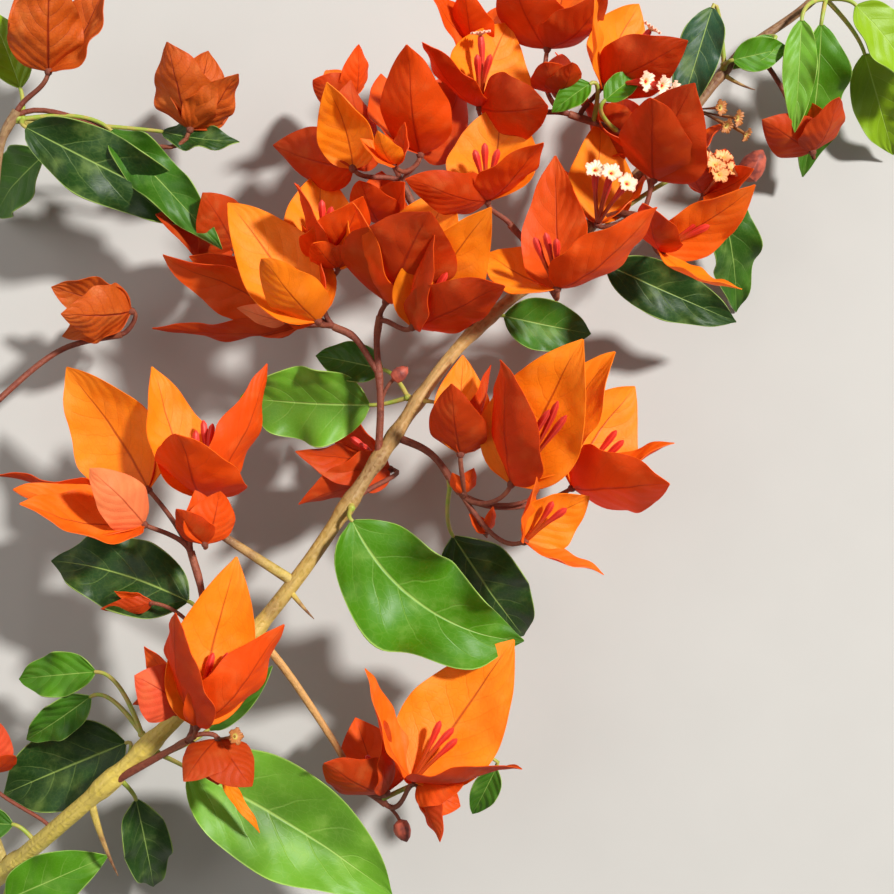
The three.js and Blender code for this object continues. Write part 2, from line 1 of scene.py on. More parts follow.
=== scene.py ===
"""A flowering branch of orange bougainvillea, cut and laid on the ground.

The canes, stems, bracts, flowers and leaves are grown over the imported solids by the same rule
that made the solids, and carried finer: curved bracts with veins, flower tubes and open stars,
wavy leaves, ridged canes with joints and thorns. Tables are in millimetres, as the solids' source
gives them, and every piece is made in metres.
"""

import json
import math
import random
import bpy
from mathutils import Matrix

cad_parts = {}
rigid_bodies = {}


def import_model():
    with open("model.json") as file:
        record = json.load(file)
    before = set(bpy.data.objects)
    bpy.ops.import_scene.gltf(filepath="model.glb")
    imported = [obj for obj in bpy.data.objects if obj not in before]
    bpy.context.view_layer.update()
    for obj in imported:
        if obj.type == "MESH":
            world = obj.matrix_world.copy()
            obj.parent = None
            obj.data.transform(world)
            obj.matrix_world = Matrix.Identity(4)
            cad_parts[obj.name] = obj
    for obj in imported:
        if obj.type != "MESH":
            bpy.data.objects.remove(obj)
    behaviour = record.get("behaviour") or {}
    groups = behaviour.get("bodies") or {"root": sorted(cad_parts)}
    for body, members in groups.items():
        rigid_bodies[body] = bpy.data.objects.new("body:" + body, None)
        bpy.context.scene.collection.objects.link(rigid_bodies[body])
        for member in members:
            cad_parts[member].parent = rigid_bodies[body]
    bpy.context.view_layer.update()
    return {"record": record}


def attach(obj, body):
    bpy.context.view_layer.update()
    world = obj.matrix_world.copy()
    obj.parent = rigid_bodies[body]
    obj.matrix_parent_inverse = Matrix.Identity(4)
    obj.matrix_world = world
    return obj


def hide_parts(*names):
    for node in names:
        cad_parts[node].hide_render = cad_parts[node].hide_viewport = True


bl_info = {
    "name": "Bougainvillea Branch",
    "version": (1, 0, 0),
    "blender": (4, 5, 0),
    "location": "3D View > Sidebar > Branch",
    "description": "Builds a cut flowering branch: canes, bracts, flowers, leaves and thorns",
    "category": "Add Mesh",
}

from collections import namedtuple

import bpy
import numpy as np
from mathutils import Vector, noise

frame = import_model()

MM = 0.001
UP = np.array([0.0, 0.0, 1.0])
ACROSS = np.array([1.0, 0.0, 0.0])

# The dents of the blades take their noise from this seed, so that each run gives the same ones
noise.seed_set(5)

# The branch itself, in millimetres. Headings are degrees in the ground plane from +X towards +Y,
# and a rise is degrees above that plane.

Limb = namedtuple("Limb", "parent share points foot tip", defaults=(0.9,))
Bloom = namedtuple("Bloom", "limb share at bracts tones flowers stars", defaults=((), ()))
Partner = namedtuple("Partner", "at bracts tones")
Leaf = namedtuple("Leaf", "at heading rise roll length width sway wave tone")
Spray = namedtuple("Spray", "limb share leaves")

LIMBS = {
    "main_cane": Limb(None, 0, (
        (-160, -153, 2.8), (-145, -139, 20), (-121, -118, 40), (-103, -102, 50),
        (-82, -82, 55), (-65, -64, 56), (-44, -38, 54), (-31, -19, 52),
        (-19, -1, 50), (4, 31, 46), (35, 59, 42), (54, 79, 41),
        (75, 103, 40), (91, 122, 37), (111, 137, 34), (123, 148, 31),
    ), 2.9, 1.3),
    "left_cane": Limb("main_cane", 0.075, (
        (-149, -105, 30), (-149, -48, 34), (-147, 15, 36),
        (-142, 61, 38), (-138, 95, 40), (-133, 104, 41),
    ), 1.7, 1.2),
    "front_stem": Limb("main_cane", 0.205, ((-94, -97, 55), (-84, -91, 60), (-76, -86, 66)), 1.4),
    "left_stem": Limb("main_cane", 0.3, ((-72, -58, 58), (-73, -42, 60), (-76, -31, 60)), 1.2),
    "middle_stem": Limb(
        "main_cane", 0.362, ((-49, -66.5, 54), (-35, -88.7, 49), (-27, -103, 45), (-19, -110, 43)), 1.3
    ),
    "right_stem": Limb("main_cane", 0.53, ((-5, -2, 50), (4, -14, 50)), 1.3),
    "centre_stem": Limb("main_cane", 0.51, ((-20, 14, 54), (-21, 32, 56), (-20, 39, 58)), 1.2),
    "upper_left_stem": Limb("centre_stem", 0.6, ((-28, 33, 56), (-34, 36, 56)), 1.0),
    "upper_stem": Limb("main_cane", 0.625, ((-1, 48, 50), (-7, 66, 50), (-13, 79, 50)), 1.2),
    "crown_stem": Limb("main_cane", 0.68, ((25, 60, 50), (19, 67, 54)), 1.1),
    "crown_right_stem": Limb("main_cane", 0.735, ((51, 71, 47), (57, 70, 52)), 1.1),
    "top_stem": Limb("main_cane", 0.81, ((50, 97, 48), (37, 101, 50)), 1.1),
    "left_low_stem": Limb("left_cane", 0.6, ((-124, 31, 24), (-104, 36, 26)), 1.0),
}

# Each bloom: its limb, the share of the limb's length that its stalk leaves from, the point where its
# three bracts meet, the bracts, the look of each (a key of TONES, a copy of the orange painted lit or in
# shade), where its closed flowers end and where its open ones do. Each bract has its heading, its rise,
# how far it lies flat, its length and its width over its length. It lies flat on its back at 1, stands on
# its edge at 0 and lies face down at -1
BLOOMS = {
    "left_1": Bloom(
        "left_stem", 0.97, (-90, -23, 60),
        ((125, 45, -0.9, 31, 0.52), (161, 0, 0.55, 41, 0.62), (164, 32, 0.5, 38, 0.66)),
        "SOO",
    ),
    "left_2": Bloom(
        "left_stem", 0.85, (-91, -13, 48),
        ((126, 0, 0.97, 46, 0.66), (170, 0, -0.25, 49, 0.3), (95, -45, 0.5, 36, 0.6)),
        "ADD",
    ),
    "left_3": Bloom(
        "left_stem", 1, (-73, -15, 56),
        ((94, 52, -0.95, 36, 0.84), (109, 0, 0.8, 43, 0.5), (66, 0, -0.5, 45, 0.46)),
        "OAO", ((-75, 5, 57), (-73, 8, 56), (-70, 7, 57)),
    ),
    "front_1": Bloom(
        "front_stem", 1, (-71.5, -80, 76),
        ((76, 0, 0.95, 50, 0.54), (92, 32, -0.62, 42, 0.54), (53, 11, -0.62, 42, 0.56)),
        "ADO", ((-67, -59, 75), (-63, -59, 75), (-67, -64, 76)),
    ),
    "front_2": Bloom(
        "front_stem", 0.95, (-76, -75, 72),
        ((125, 0, 0.8, 21, 0.6), (178, -35, -0.6, 20, 0.6), (139, 33, -0.95, 20, 0.95)),
        "DDC",
    ),
    "middle_1": Bloom(
        "middle_stem", 0.9, (-18.5, -105.5, 47),
        ((142, 32, -0.85, 27, 0.85), (117, -36, 0.9, 29, 0.85), (93, 24, -0.35, 27, 0.6)),
        "DDD", ((-24, -92, 58),),
    ),
    "middle_2": Bloom(
        "middle_stem", 1, (-10.5, -100.5, 54),
        ((55, 0, 0.97, 53, 0.62), (106, 23, 0.22, 42, 0.42), (22, 36, -0.35, 42, 0.5)),
        "AOD", ((-2, -82, 56), (2, -84, 57), (3, -87, 58)),
    ),
    "right_1": Bloom(
        "right_stem", 1, (4, -2, 60),
        ((88, -12, 0.95, 31, 0.64), (97, 39, -0.95, 27, 0.68), (73, 0, -0.35, 28, 0.5)),
        "ADD",
    ),
    "right_2": Bloom(
        "right_stem", 1, (19, -11, 62),
        ((91, 28, -0.55, 42, 0.62), (66, 24, 0.97, 49, 0.66), (54, -7, 0.7, 52, 0.6)),
        "DAA", ((31.5, 13, 79), (29, 10.5, 80), (34, 9, 78)),
    ),
    "right_3": Bloom(
        "right_stem", 0.9, (38, -12.4, 50),
        ((55, -16, 0.9, 40, 0.84), (30, 14, 0.25, 34, 0.5), (8, 51, -0.82, 42, 0.66)),
        "AOO", ((51, 5, 54), (53, 2, 55)),
    ),
    "right_4": Bloom(
        "right_stem", 1, (23, -28, 60),
        ((77, 36, 0.3, 24, 0.45), (32, 0, 0.9, 24, 0.84), (343, 0, 0.4, 26, 0.42)),
        "OAO", ((31, -16, 66), (35, -18, 66)),
    ),
    "behind_1": Bloom(
        "main_cane", 0.468, (-18, -7, 34),
        ((172, 22, -0.6, 32, 0.7), (147, -30, 0.7, 32, 0.7), (198, 20, -0.5, 32, 0.7)),
        "DDD", ((-30, 3, 38), (-27, 1, 43)),
    ),
    "centre_1": Bloom(
        "centre_stem", 1, (-18, 43, 62),
        ((62, 0, 0.95, 40, 0.72), (59, 51, -0.95, 43, 0.84), (101, 44, -0.4, 38, 0.42)),
        "ADO", ((-18, 66, 68), (-14, 65, 68), (-12, 66, 67)),
    ),
    "centre_2": Bloom(
        "centre_stem", 0.93, (-10, 35, 68),
        ((23, 44, -0.82, 41, 0.5), (54, 26, 0.95, 43, 0.6), (72, 40, -0.45, 33, 0.5)),
        "DAD", ((-3, 52, 74), (0, 50, 75), (3, 47, 74)),
    ),
    "upper_left_1": Bloom(
        "upper_left_stem", 1, (-38, 37, 64),
        ((126, 0, 0.96, 45, 0.62), (128, 45, -0.92, 32, 0.56), (108, -25, 0.75, 40, 0.66)),
        "AAD",
    ),
    "upper_left_2": Bloom(
        "upper_left_stem", 1, (-44, 37, 52),
        ((150, -5, 0.8, 42, 0.6), (157, 0, 0.75, 48, 0.44), (178, -9, -0.45, 47, 0.24)),
        "DDR",
    ),
    "upper_left_3": Bloom(
        "upper_left_stem", 0.8, (-68, 63, 28),
        ((156, 41, 0.85, 29, 0.7), (116, 54, -0.85, 28, 0.75), (104, -35, 0.7, 24, 0.6)),
        "RRR",
    ),
    "upper_1": Bloom(
        "upper_stem", 1, (-28, 83, 58),
        ((109, 44, 0.95, 29, 0.62), (96, -20, -0.75, 30, 0.75), (158, -24, -0.8, 29, 0.75)),
        "ADD",
    ),
    "upper_2": Bloom(
        "upper_left_stem", 0.9, (-37, 55, 56),
        ((100, 50, -0.35, 33, 0.6), (92, -17, 0.93, 32, 0.8), (54, 47, -0.65, 32, 0.7)),
        "DAO", ((-37, 73, 62), (-34, 71, 62), (-35, 68, 64)),
    ),
    "upper_3": Bloom(
        "upper_stem", 1, (-8, 88, 54),
        ((95, 41, -0.95, 38, 0.6), (112, -22, 0.75, 34, 0.72), (66, -20, -0.75, 34, 0.72)),
        "ODD",
    ),
    "upper_4": Bloom(
        "upper_stem", 0.9, (-29, 110, 34),
        ((86, 37, -0.7, 18, 0.76), (165, 43, -0.8, 18, 0.76), (125, -32, 0.8, 18, 0.76)),
        "ODO",
    ),
    "crown_1": Bloom(
        "crown_stem", 1, (12, 73, 60),
        ((83, -11, 0.95, 33, 0.88), (170, 42, -0.8, 35, 0.44), (45, 51, -0.45, 32, 0.6)),
        "ADO", ((8, 87, 66), (11, 89, 66), (15, 87, 67)),
    ),
    "crown_2": Bloom(
        "main_cane", 0.675, (32, 46, 70),
        ((91, -9, 0.9, 42, 0.52), (147, -33, 0.88, 30, 0.8), (41, 31, -0.62, 40, 0.56)),
        "DAO", ((25, 60, 76), (28, 61, 78), (31, 59, 80)),
    ),
    "crown_3": Bloom(
        "crown_right_stem", 0.9, (46, 68, 48),
        ((87, -3, 0.95, 34, 0.66), (116, -34, 0.6, 32, 0.6), (50, -22, 0.6, 30, 0.6)),
        "ADO", ((48, 79, 62),), ((43, 80.5, 70), (47.6, 79.4, 71), (52.3, 76.5, 70)),
    ),
    "crown_4": Bloom(
        "crown_right_stem", 1, (62, 80, 56),
        ((100, 53, -0.82, 35, 0.7), (69, 45, -0.92, 36, 0.78), (44, -20, 0.4, 34, 0.6)),
        "DDD",
    ),
    "crown_5": Bloom(
        "crown_right_stem", 1, (64, 58, 58),
        ((32, 37, 0.88, 35, 0.5), (328, 46, 0.35, 34, 0.42), (124, 61, -0.55, 31, 0.5)),
        "OAD", ((74, 67, 64), (77, 65, 65)),
    ),
    "top_1": Bloom(
        "top_stem", 1, (10, 103, 50),
        ((71, -12, 0.95, 31, 0.95), (350, 45, -0.88, 31, 0.74), (134, 47, -0.35, 33, 0.5)),
        "ADD", ((9, 117, 58), (13, 117, 58)), ((10, 124, 55),),
    ),
    "top_2": Bloom(
        "top_stem", 1, (31, 123, 42),
        ((117, 35, -0.75, 32, 0.72), (78, -12, 0.9, 33, 0.74), (38, 48, -0.6, 30, 0.66)),
        "DOD",
    ),
    "top_3": Bloom(
        "top_stem", 0.85, (47, 109, 52),
        ((20, 43, -0.88, 33, 0.64), (64, -14, 0.88, 32, 0.74), (99, 48, 0.35, 32, 0.36)),
        "DAA", ((60, 118, 60),), ((58.4, 107, 66), (63, 105.5, 67), (66.5, 104.5, 65), (61, 125, 57)),
    ),
    "papery_1": Bloom(
        "left_cane", 1, (-122, 115, 46),
        ((105, -8, 0.9, 33, 0.66), (58, 2, 0.85, 33, 0.66), (76, 37, -0.85, 33, 0.72)),
        "PPP",
    ),
    "papery_2": Bloom(
        "left_cane", 0.98, (-80, 99, 38),
        ((100, 27, -0.9, 28, 0.84), (78, -12, 0.85, 28, 0.8), (48, 22, -0.6, 25, 0.66)),
        "PPP",
    ),
    "papery_3": Bloom(
        "left_low_stem", 1, (-100, 43, 30),
        ((165, 8, 0.8, 26, 0.76), (196, -14, 0.8, 26, 0.76), (186, 44, -0.85, 26, 0.76)),
        "PPP",
    ),
    "tip_1": Bloom(
        "main_cane", 0.905, (115, 93, 33),
        ((154, 24, -0.8, 22, 0.76), (96, -26, 0.8, 22, 0.76), (78, 46, -0.8, 22, 0.76)),
        "DDD",
    ),
}

# Second blooms, most of them young, whose stalk leaves the stalk of the bloom of the same name
PARTNERS = {
    "left_3": Partner(
        (-70, -28, 72), ((74, 12, -0.85, 17, 1), (122, 22, -0.85, 14, 0.95), (98, 2, 0.8, 16, 0.9)),
        "ODD",
    ),
    "front_1": Partner(
        (-66, -84, 74), ((234, 30, -0.85, 16, 1), (310, 22, -0.8, 18, 0.95), (268, -20, 0.9, 16, 1.1)),
        "RRR",
    ),
    "middle_2": Partner(
        (-9, -102, 52), ((4, 34, -0.6, 18, 0.8), (300, 26, -0.6, 19, 0.7), (330, -20, 0.9, 17, 0.9)),
        "ODD",
    ),
    "upper_3": Partner(
        (-15, 82, 68), ((117, 38, -0.7, 13, 0.8), (140, 10, 0.6, 13, 0.8), (80, 10, 0.6, 13, 0.8)),
        "AOD",
    ),
    "top_1": Partner(
        (8.4, 124.8, 38), ((137, 49, 0.8, 24, 0.6), (102, 51, -0.8, 22, 0.7), (63, -28, 0.7, 22, 0.7)),
        "DOD",
    ),
    "top_2": Partner(
        (33.2, 106, 56), ((128, 61, -0.85, 17, 0.8), (66, 66, -0.8, 17, 0.7), (86, -20, 0.9, 15, 0.8)),
        "DDC",
    ),
    "crown_4": Partner(
        (56, 90.3, 46), ((122, 0, 0.3, 39, 0.3), (126, -30, -0.7, 24, 0.8), (101, -34, 0.8, 26, 0.7)),
        "DDD",
    ),
    "crown_5": Partner(
        (78.6, 77.4, 46), ((24, 57, 0.85, 22, 0.6), (64, -29, 0.85, 22, 0.7), (126, 57, -0.6, 20, 0.6)),
        "DDD",
    ),
    "upper_2": Partner(
        (-32, 52.6, 64), ((76, 41, 0.85, 17, 0.6), (132, 51, -0.85, 15, 0.8), (44, 53, -0.8, 15, 0.8)),
        "AOD",
    ),
    "centre_1": Partner(
        (-19.6, 67.6, 46), ((115, 52, -0.8, 22, 0.8), (59, 51, 0.8, 20, 0.8), (90, -18, 0.9, 20, 0.9)),
        "DDD",
    ),
}

# Each spray: its limb, the share of the limb's length that its stalks leave from, and its leaves. A
# leaf has the point where its blade starts, its heading, its rise, its roll about its length, its
# length, its width over its length, how far its midrib bends sideways, the wave of its rim over its
# length, and its look
SPRAYS = {
    "wide_leaf": Spray("main_cane", 0.475, (
        Leaf((-28, -22, 60), -35, -12, 6, 68, 0.5, 56, 0.1, "bright"),
    )),
    "front_leaf": Spray("main_cane", 0.25, (
        Leaf((-79, -98, 48), -34, -7, -8, 76, 0.46, -16, 0.035, "pale"),
    )),
    "left_dark_leaf": Spray("left_stem", 0.35, (
        Leaf((-79, -47, 48), 166, -14, 12, 48, 0.52, 20, 0.09, "dark"),
    )),
    "low_left_leaves": Spray("main_cane", 0.215, (
        Leaf((-101, -93, 34), -156, -12, 10, 46, 0.62, 0, 0.04, "dark"),
        Leaf((-96, -109, 42), -90, -38, -24, 44, 0.36, 0, 0.05, "dark"),
    )),
    "corner_leaf": Spray("main_cane", 0.09, (
        Leaf((-139, -143, 31), 24, 4, -10, 36, 0.52, 0, 0.04, "bright"),
    )),
    "pale_leaves": Spray("main_cane", 0.56, (
        Leaf((-24, 13, 42), 176, -14, -16, 43, 0.6, 0, 0.08, "pale"),
        Leaf((-20, 24, 42), 168, -12, 6, 22, 0.6, 0, 0.04, "green"),
    )),
    "shaded_leaf": Spray("right_stem", 0.8, (
        Leaf((2, -28, 36), -56, -38, 8, 54, 0.5, 0, 0.05, "dark"),
    )),
    "centre_leaf": Spray("main_cane", 0.64, (
        Leaf((18, 41, 36), -10, -18, 10, 30, 0.58, 0, 0.04, "green"),
    )),
    "right_leaves": Spray("main_cane", 0.75, (
        Leaf((50, 57, 36), -22, -12, 12, 47, 0.38, 0, 0.05, "dark"),
        Leaf((86, 84, 30), -74, -36, -12, 50, 0.36, 0, 0.06, "green"),
    )),
    "blue_leaf": Spray("main_cane", 0.885, (
        Leaf((81, 134, 47), -107, -3, 4, 37, 0.38, 0, 0.05, "blue"),
        Leaf((88, 119, 44), 14, -6, 10, 18, 0.6, 0, 0.03, "bright"),
    )),
    "tip_leaves": Spray("main_cane", 0.985, (
        Leaf((109, 131, 44), -92, -7, 8, 34, 0.32, 0, 0.04, "pale"),
        Leaf((117, 132, 36), -90, -30, -12, 50, 0.38, 0, 0.06, "bright"),
        Leaf((128, 138, 36), -48, -12, -10, 34, 0.52, 0, 0.04, "yellow"),
        Leaf((134, 126, 24), -62, -32, 20, 38, 0.46, 0, 0.04, "yellow"),
    )),
    "far_left_leaves": Spray("left_cane", 0.99, (
        Leaf((-129, 98, 45), -26, -10, 8, 66, 0.34, 0, 0.07, "dark"),
        Leaf((-104, 98, 40), -47, 2, -8, 51, 0.3, 0, 0.08, "green"),
        Leaf((-133, 112, 38), 112, -4, 20, 27, 0.52, 0, 0.04, "yellow"),
        Leaf((-128, 92, 30), -150, -48, 10, 40, 0.52, 0, 0.04, "green"),
    )),
    "side_shoot": Spray("main_cane", 0.255, (
        Leaf((-110, -77, 43), -146, -18, -10, 28, 0.44, 0, 0.05, "green"),
        Leaf((-108, -69, 45), -172, -20, 12, 28, 0.52, 0, 0.05, "bright"),
    )),
}

# Small parts that the solids leave out. Single leaves, each with its limb and the share of the
# limb's length that its stalk leaves from
SMALL_LEAVES = (
    ("middle_stem", 0.97, Leaf((15, -99, 44), -115, -20, 0, 18, 0.5, 0, 0.02, "green")),
    ("top_stem", 0.75, Leaf((42.4, 107.7, 60), 216, -6, 12, 14, 0.6, 0, 0.03, "bright")),
    ("top_stem", 0.5, Leaf((47, 103, 60), 38, -6, -8, 14, 0.6, 0, 0.03, "bright")),
    ("main_cane", 0.925, Leaf((101, 126, 42), 216, -4, 8, 15.6, 0.5, 0, 0.02, "bright")),
    ("front_stem", 0.7, Leaf((-71.2, -84.3, 56), 45, 0, 0, 27, 0.3, 10, 0.02, "green")),
    ("main_cane", 0.122, Leaf((-136, -118, 36), 178, -10, 6, 24, 0.52, 0, 0.02, "green")),
    ("left_cane", 0.985, Leaf((-89, 99, 34), -8, 4, -20, 25, 0.4, 30, 0.08, "dark")),
)

# Tiny blooms, each with its limb and share: two among the right blooms, one at the picture's left
# edge, a veiny old one, one over the left dark leaf and a long withered one
Tiny = namedtuple("Tiny", "limb share at bracts tones")
TINY_BLOOMS = (
    Tiny("right_stem", 0.6, (5, -14, 53), ((70, 20, -0.8, 9, 0.8), (118, 24, -0.8, 8, 0.8)), "OO"),
    Tiny("right_stem", 0.95, (12, -26, 50), ((80, 20, -0.7, 9, 0.6), (130, 10, 0.8, 8, 0.7)), "OD"),
    Tiny(
        "main_cane", 0.139, (-143, -102, 38),
        ((75, 14, -0.8, 19, 0.7), (122, 6, 0.8, 19, 0.7), (38, 30, -0.7, 16, 0.7)), "CDD",
    ),
    Tiny("upper_left_stem", 0.9, (-48, 37.5, 58), ((163, 4, -0.9, 15, 0.5), (158, -30, 0.9, 8, 0.5)), "SS"),
    Tiny("left_stem", 0.25, (-89, -47, 53), ((186, -6, -0.9, 16, 0.4), (166, 0, 0.8, 12, 0.4)), "DD"),
    Tiny("front_stem", 0.97, (-66.5, -95, 65), ((-59, -14, 0.8, 24, 0.18), (-40, -50, 0.8, 6, 0.5)), "AO"),
)

# Closed buds, each with its limb and share, its middle, its heading and its length
Bud = namedtuple("Bud", "limb share at heading length")
BUDS = (
    Bud("main_cane", 0.83, (93, 85.5, 50), 60, 10.5),
    Bud("middle_stem", 0.99, (-13.5, -118, 44), -70, 7),
    Bud("right_stem", 0.9, (27.5, -8, 54), 95, 7.5),
    Bud("centre_stem", 0.3, (-14, 22, 56), 40, 6),
)

# Thorns and a dry stub, each with its limb and share, a point it bends by, its tip, and its radius at
# the foot and the tip
Spike = namedtuple("Spike", "limb share bend tip foot_radius tip_radius")
SPIKES = (
    Spike("main_cane", 0.191, (-107, -120, 44), (-102, -133, 40), 1.3, 0.15),
    Spike("main_cane", 0.4, (-44, -47, 57), (-39.8, -51.5, 56), 1.0, 0.12),
    Spike("main_cane", 0.406, (-57, -33, 57), (-71, -24, 57), 1.7, 1.1),
    Spike("main_cane", 0.3, (-70, -62, 58), (-76, -60, 57), 0.9, 0.12),
    Spike("main_cane", 0.56, (-3, 14, 52), (0, 12, 55), 0.9, 0.12),
    Spike("main_cane", 0.885, (90, 112, 41), (95, 110, 43), 0.8, 0.12),
)

# The rule that grows a stalk, a bract and a leaf, as the solids have it. A kind of blade has the powers
# that shape its outline towards its foot and its tip, and the fold and the cup of its halves in degrees
GAP = 0.3
KNOT_RADIUS = 1.3
STALK_PULL = 0.35
PARTNER_FORK = 0.6
FLARE_START = 0.7
WAVES = 2.5
LEAF_DROOP = 26
FOOT = 1.3
Kind = namedtuple("Kind", "early late fold cup")
BRACT = Kind(0.5, 0.95, 7, 20)
LEAF = Kind(0.62, 0.95, 8, 18)

# What only these finer blades have. A look has its crumple and its blunt tip's width, both over the
# blade's length. A bract's bow, flare and twist, in degrees, and how much more each half cups are drawn
# between two limits. A dried one's rim waves more. The dents of all blades are a broad noise and a fine
# one, each with its scale
Look = namedtuple("Look", "crumple point")
FRESH_LOOK = Look(0.02, 0.006)
DRY_LOOK = Look(0.045, 0.006)
LEAF_LOOK = Look(0.01, 0.004)
BOW = (14, 26)
FLARE = (8, 44)
TWIST = (-16, 16)
CUPPING = (0.6, 1.5)
DRY_WAVE = 2.0
BROAD_DENTS = 0.09
FINE_DENTS = 0.24
FINE_DEPTH = 0.4

# How many rows and columns of faces a blade has
BRACT_GRID = (30, 16)
LEAF_GRID = (36, 16)
SMALL_LEAF_GRID = (24, 12)

# Where each group of pieces starts to count the seeds of its random draws
PARTNER_SEED = 100
TINY_SEED = 200
LEAF_SEED = 50
SMALL_LEAF_SEED = 150

# Edges sharper than this stay sharp, in degrees
SHARP_BLADE = 35
SHARP_BARK = 60


def aim(heading, rise):
    """The unit vector at a heading and a rise, in degrees."""
    level = math.cos(math.radians(rise))
    heading = math.radians(heading)
    return np.array([level * math.cos(heading), level * math.sin(heading), math.sin(math.radians(rise))])


def unit(vector):
    """A vector's direction, at length 1."""
    return vector / np.linalg.norm(vector)


def beside_of(way):
    """A direction that is well away from another: up, or across where that one is steep."""
    return ACROSS if abs(way[2]) > 0.9 else UP


def turned(vector, axis, degrees):
    """A vector turned about a unit axis."""
    angle = math.radians(degrees)
    return (
        vector * math.cos(angle)
        + np.cross(axis, vector) * math.sin(angle)
        + axis * np.dot(axis, vector) * (1 - math.cos(angle))
    )


def wobble(point, scale, seed):
    """Smooth noise at a point in millimetres, as a vector of about -1 to 1."""
    return np.array(noise.noise_vector(Vector(point) * scale + Vector((seed * 7.1, seed * 3.7, seed))))


class Line:
    """A smooth line through space, walked by the share of its length."""

    def __init__(self, place, pieces=200):
        self.place = place
        self.steps = np.linspace(0, 1, pieces + 1)
        points = np.array([place(step) for step in self.steps])
        walked = np.concatenate(([0], np.cumsum(np.linalg.norm(np.diff(points, axis=0), axis=1))))
        self.length = walked[-1]
        self.walked = walked / self.length

    def at(self, share):
        return self.place(float(np.interp(share, self.walked, self.steps)))

    def along(self, share):
        step = float(np.interp(share, self.walked, self.steps))
        return unit(self.place(min(1, step + 1e-4)) - self.place(max(0, step - 1e-4)))


def spline(points):
    """A centripetal Catmull-Rom spline through points, as a function of a step from 0 to 1."""
    points = [np.array(p, float) for p in points]
    points = [2 * points[0] - points[1], *points, 2 * points[-1] - points[-2]]
    spans = len(points) - 3

    def place(step):
        span = min(int(step * spans), spans - 1)
        part = step * spans - span
        before, start, end, after = points[span:span + 4]
        gaps = [np.linalg.norm(b - a) ** 0.5 for a, b in ((before, start), (start, end), (end, after))]
        out = (start - before) / gaps[0] - (end - before) / (gaps[0] + gaps[1]) + (end - start) / gaps[1]
        back = (end - start) / gaps[1] - (after - start) / (gaps[1] + gaps[2]) + (after - end) / gaps[2]
        out = out * gaps[1]
        back = back * gaps[1]
        square = 3 * (end - start) - 2 * out - back
        cube = 2 * (start - end) + out + back
        return start + out * part + square * part**2 + cube * part**3

    return place


def bezier(*points):
    """A Bezier curve of any degree, as a function of a step from 0 to 1."""
    points = [np.array(p, float) for p in points]

    def place(step):
        line = points
        while len(line) > 1:
            line = [a + (b - a) * step for a, b in zip(line, line[1:])]
        return line[0]

    return place


lines = {}


def limb_line(name):
    """A limb's middle line, which starts on its parent's."""
    if name not in lines:
        limb = LIMBS[name]
        points = list(limb.points)
        if limb.parent:
            points.insert(0, limb_line(limb.parent).at(limb.share))
        lines[name] = Line(spline(points))
    return lines[name]


def limb_radius(name, share):
    """A limb's plain radius, before joints and bark."""
    limb = LIMBS[name]
    return limb.foot + (limb.tip - limb.foot) * share


def middle_of(bracts):
    """The way a bloom faces: the mean of its bracts' directions."""
    return unit(sum(aim(*bract[:2]) for bract in bracts))


def stalk_line(line, share, at, way):
    """A stalk leaves a line at a share of it and comes to its head along the way the head faces."""
    foot = line.at(share)
    head = np.array(at, float)
    pull = STALK_PULL * np.linalg.norm(head - foot)
    return Line(bezier(foot, foot + line.along(share) * pull, head - way * pull, head), 40)


def bloom_stalk(bloom):
    """The middle line of a bloom's stalk."""
    return stalk_line(limb_line(bloom.limb), bloom.share, bloom.at, middle_of(bloom.bracts))


def bract_face(forward, middle, flat):
    """The way a bract's inner side faces: up as far as it lies flat, else to its bloom's middle."""
    upper = unit(UP - forward * forward[2])
    beside = np.cross(forward, upper)
    inward = math.copysign(math.sqrt(1 - flat**2), np.dot(beside, middle))
    return upper * flat + beside * inward


# The frame puts the branch's first point, the middle of the cane's cut face, at the mount
cut_end = np.array(frame["record"]["mounts"][0]["pos_m"])
shift = cut_end - np.array(LIMBS["main_cane"].points[0]) * MM


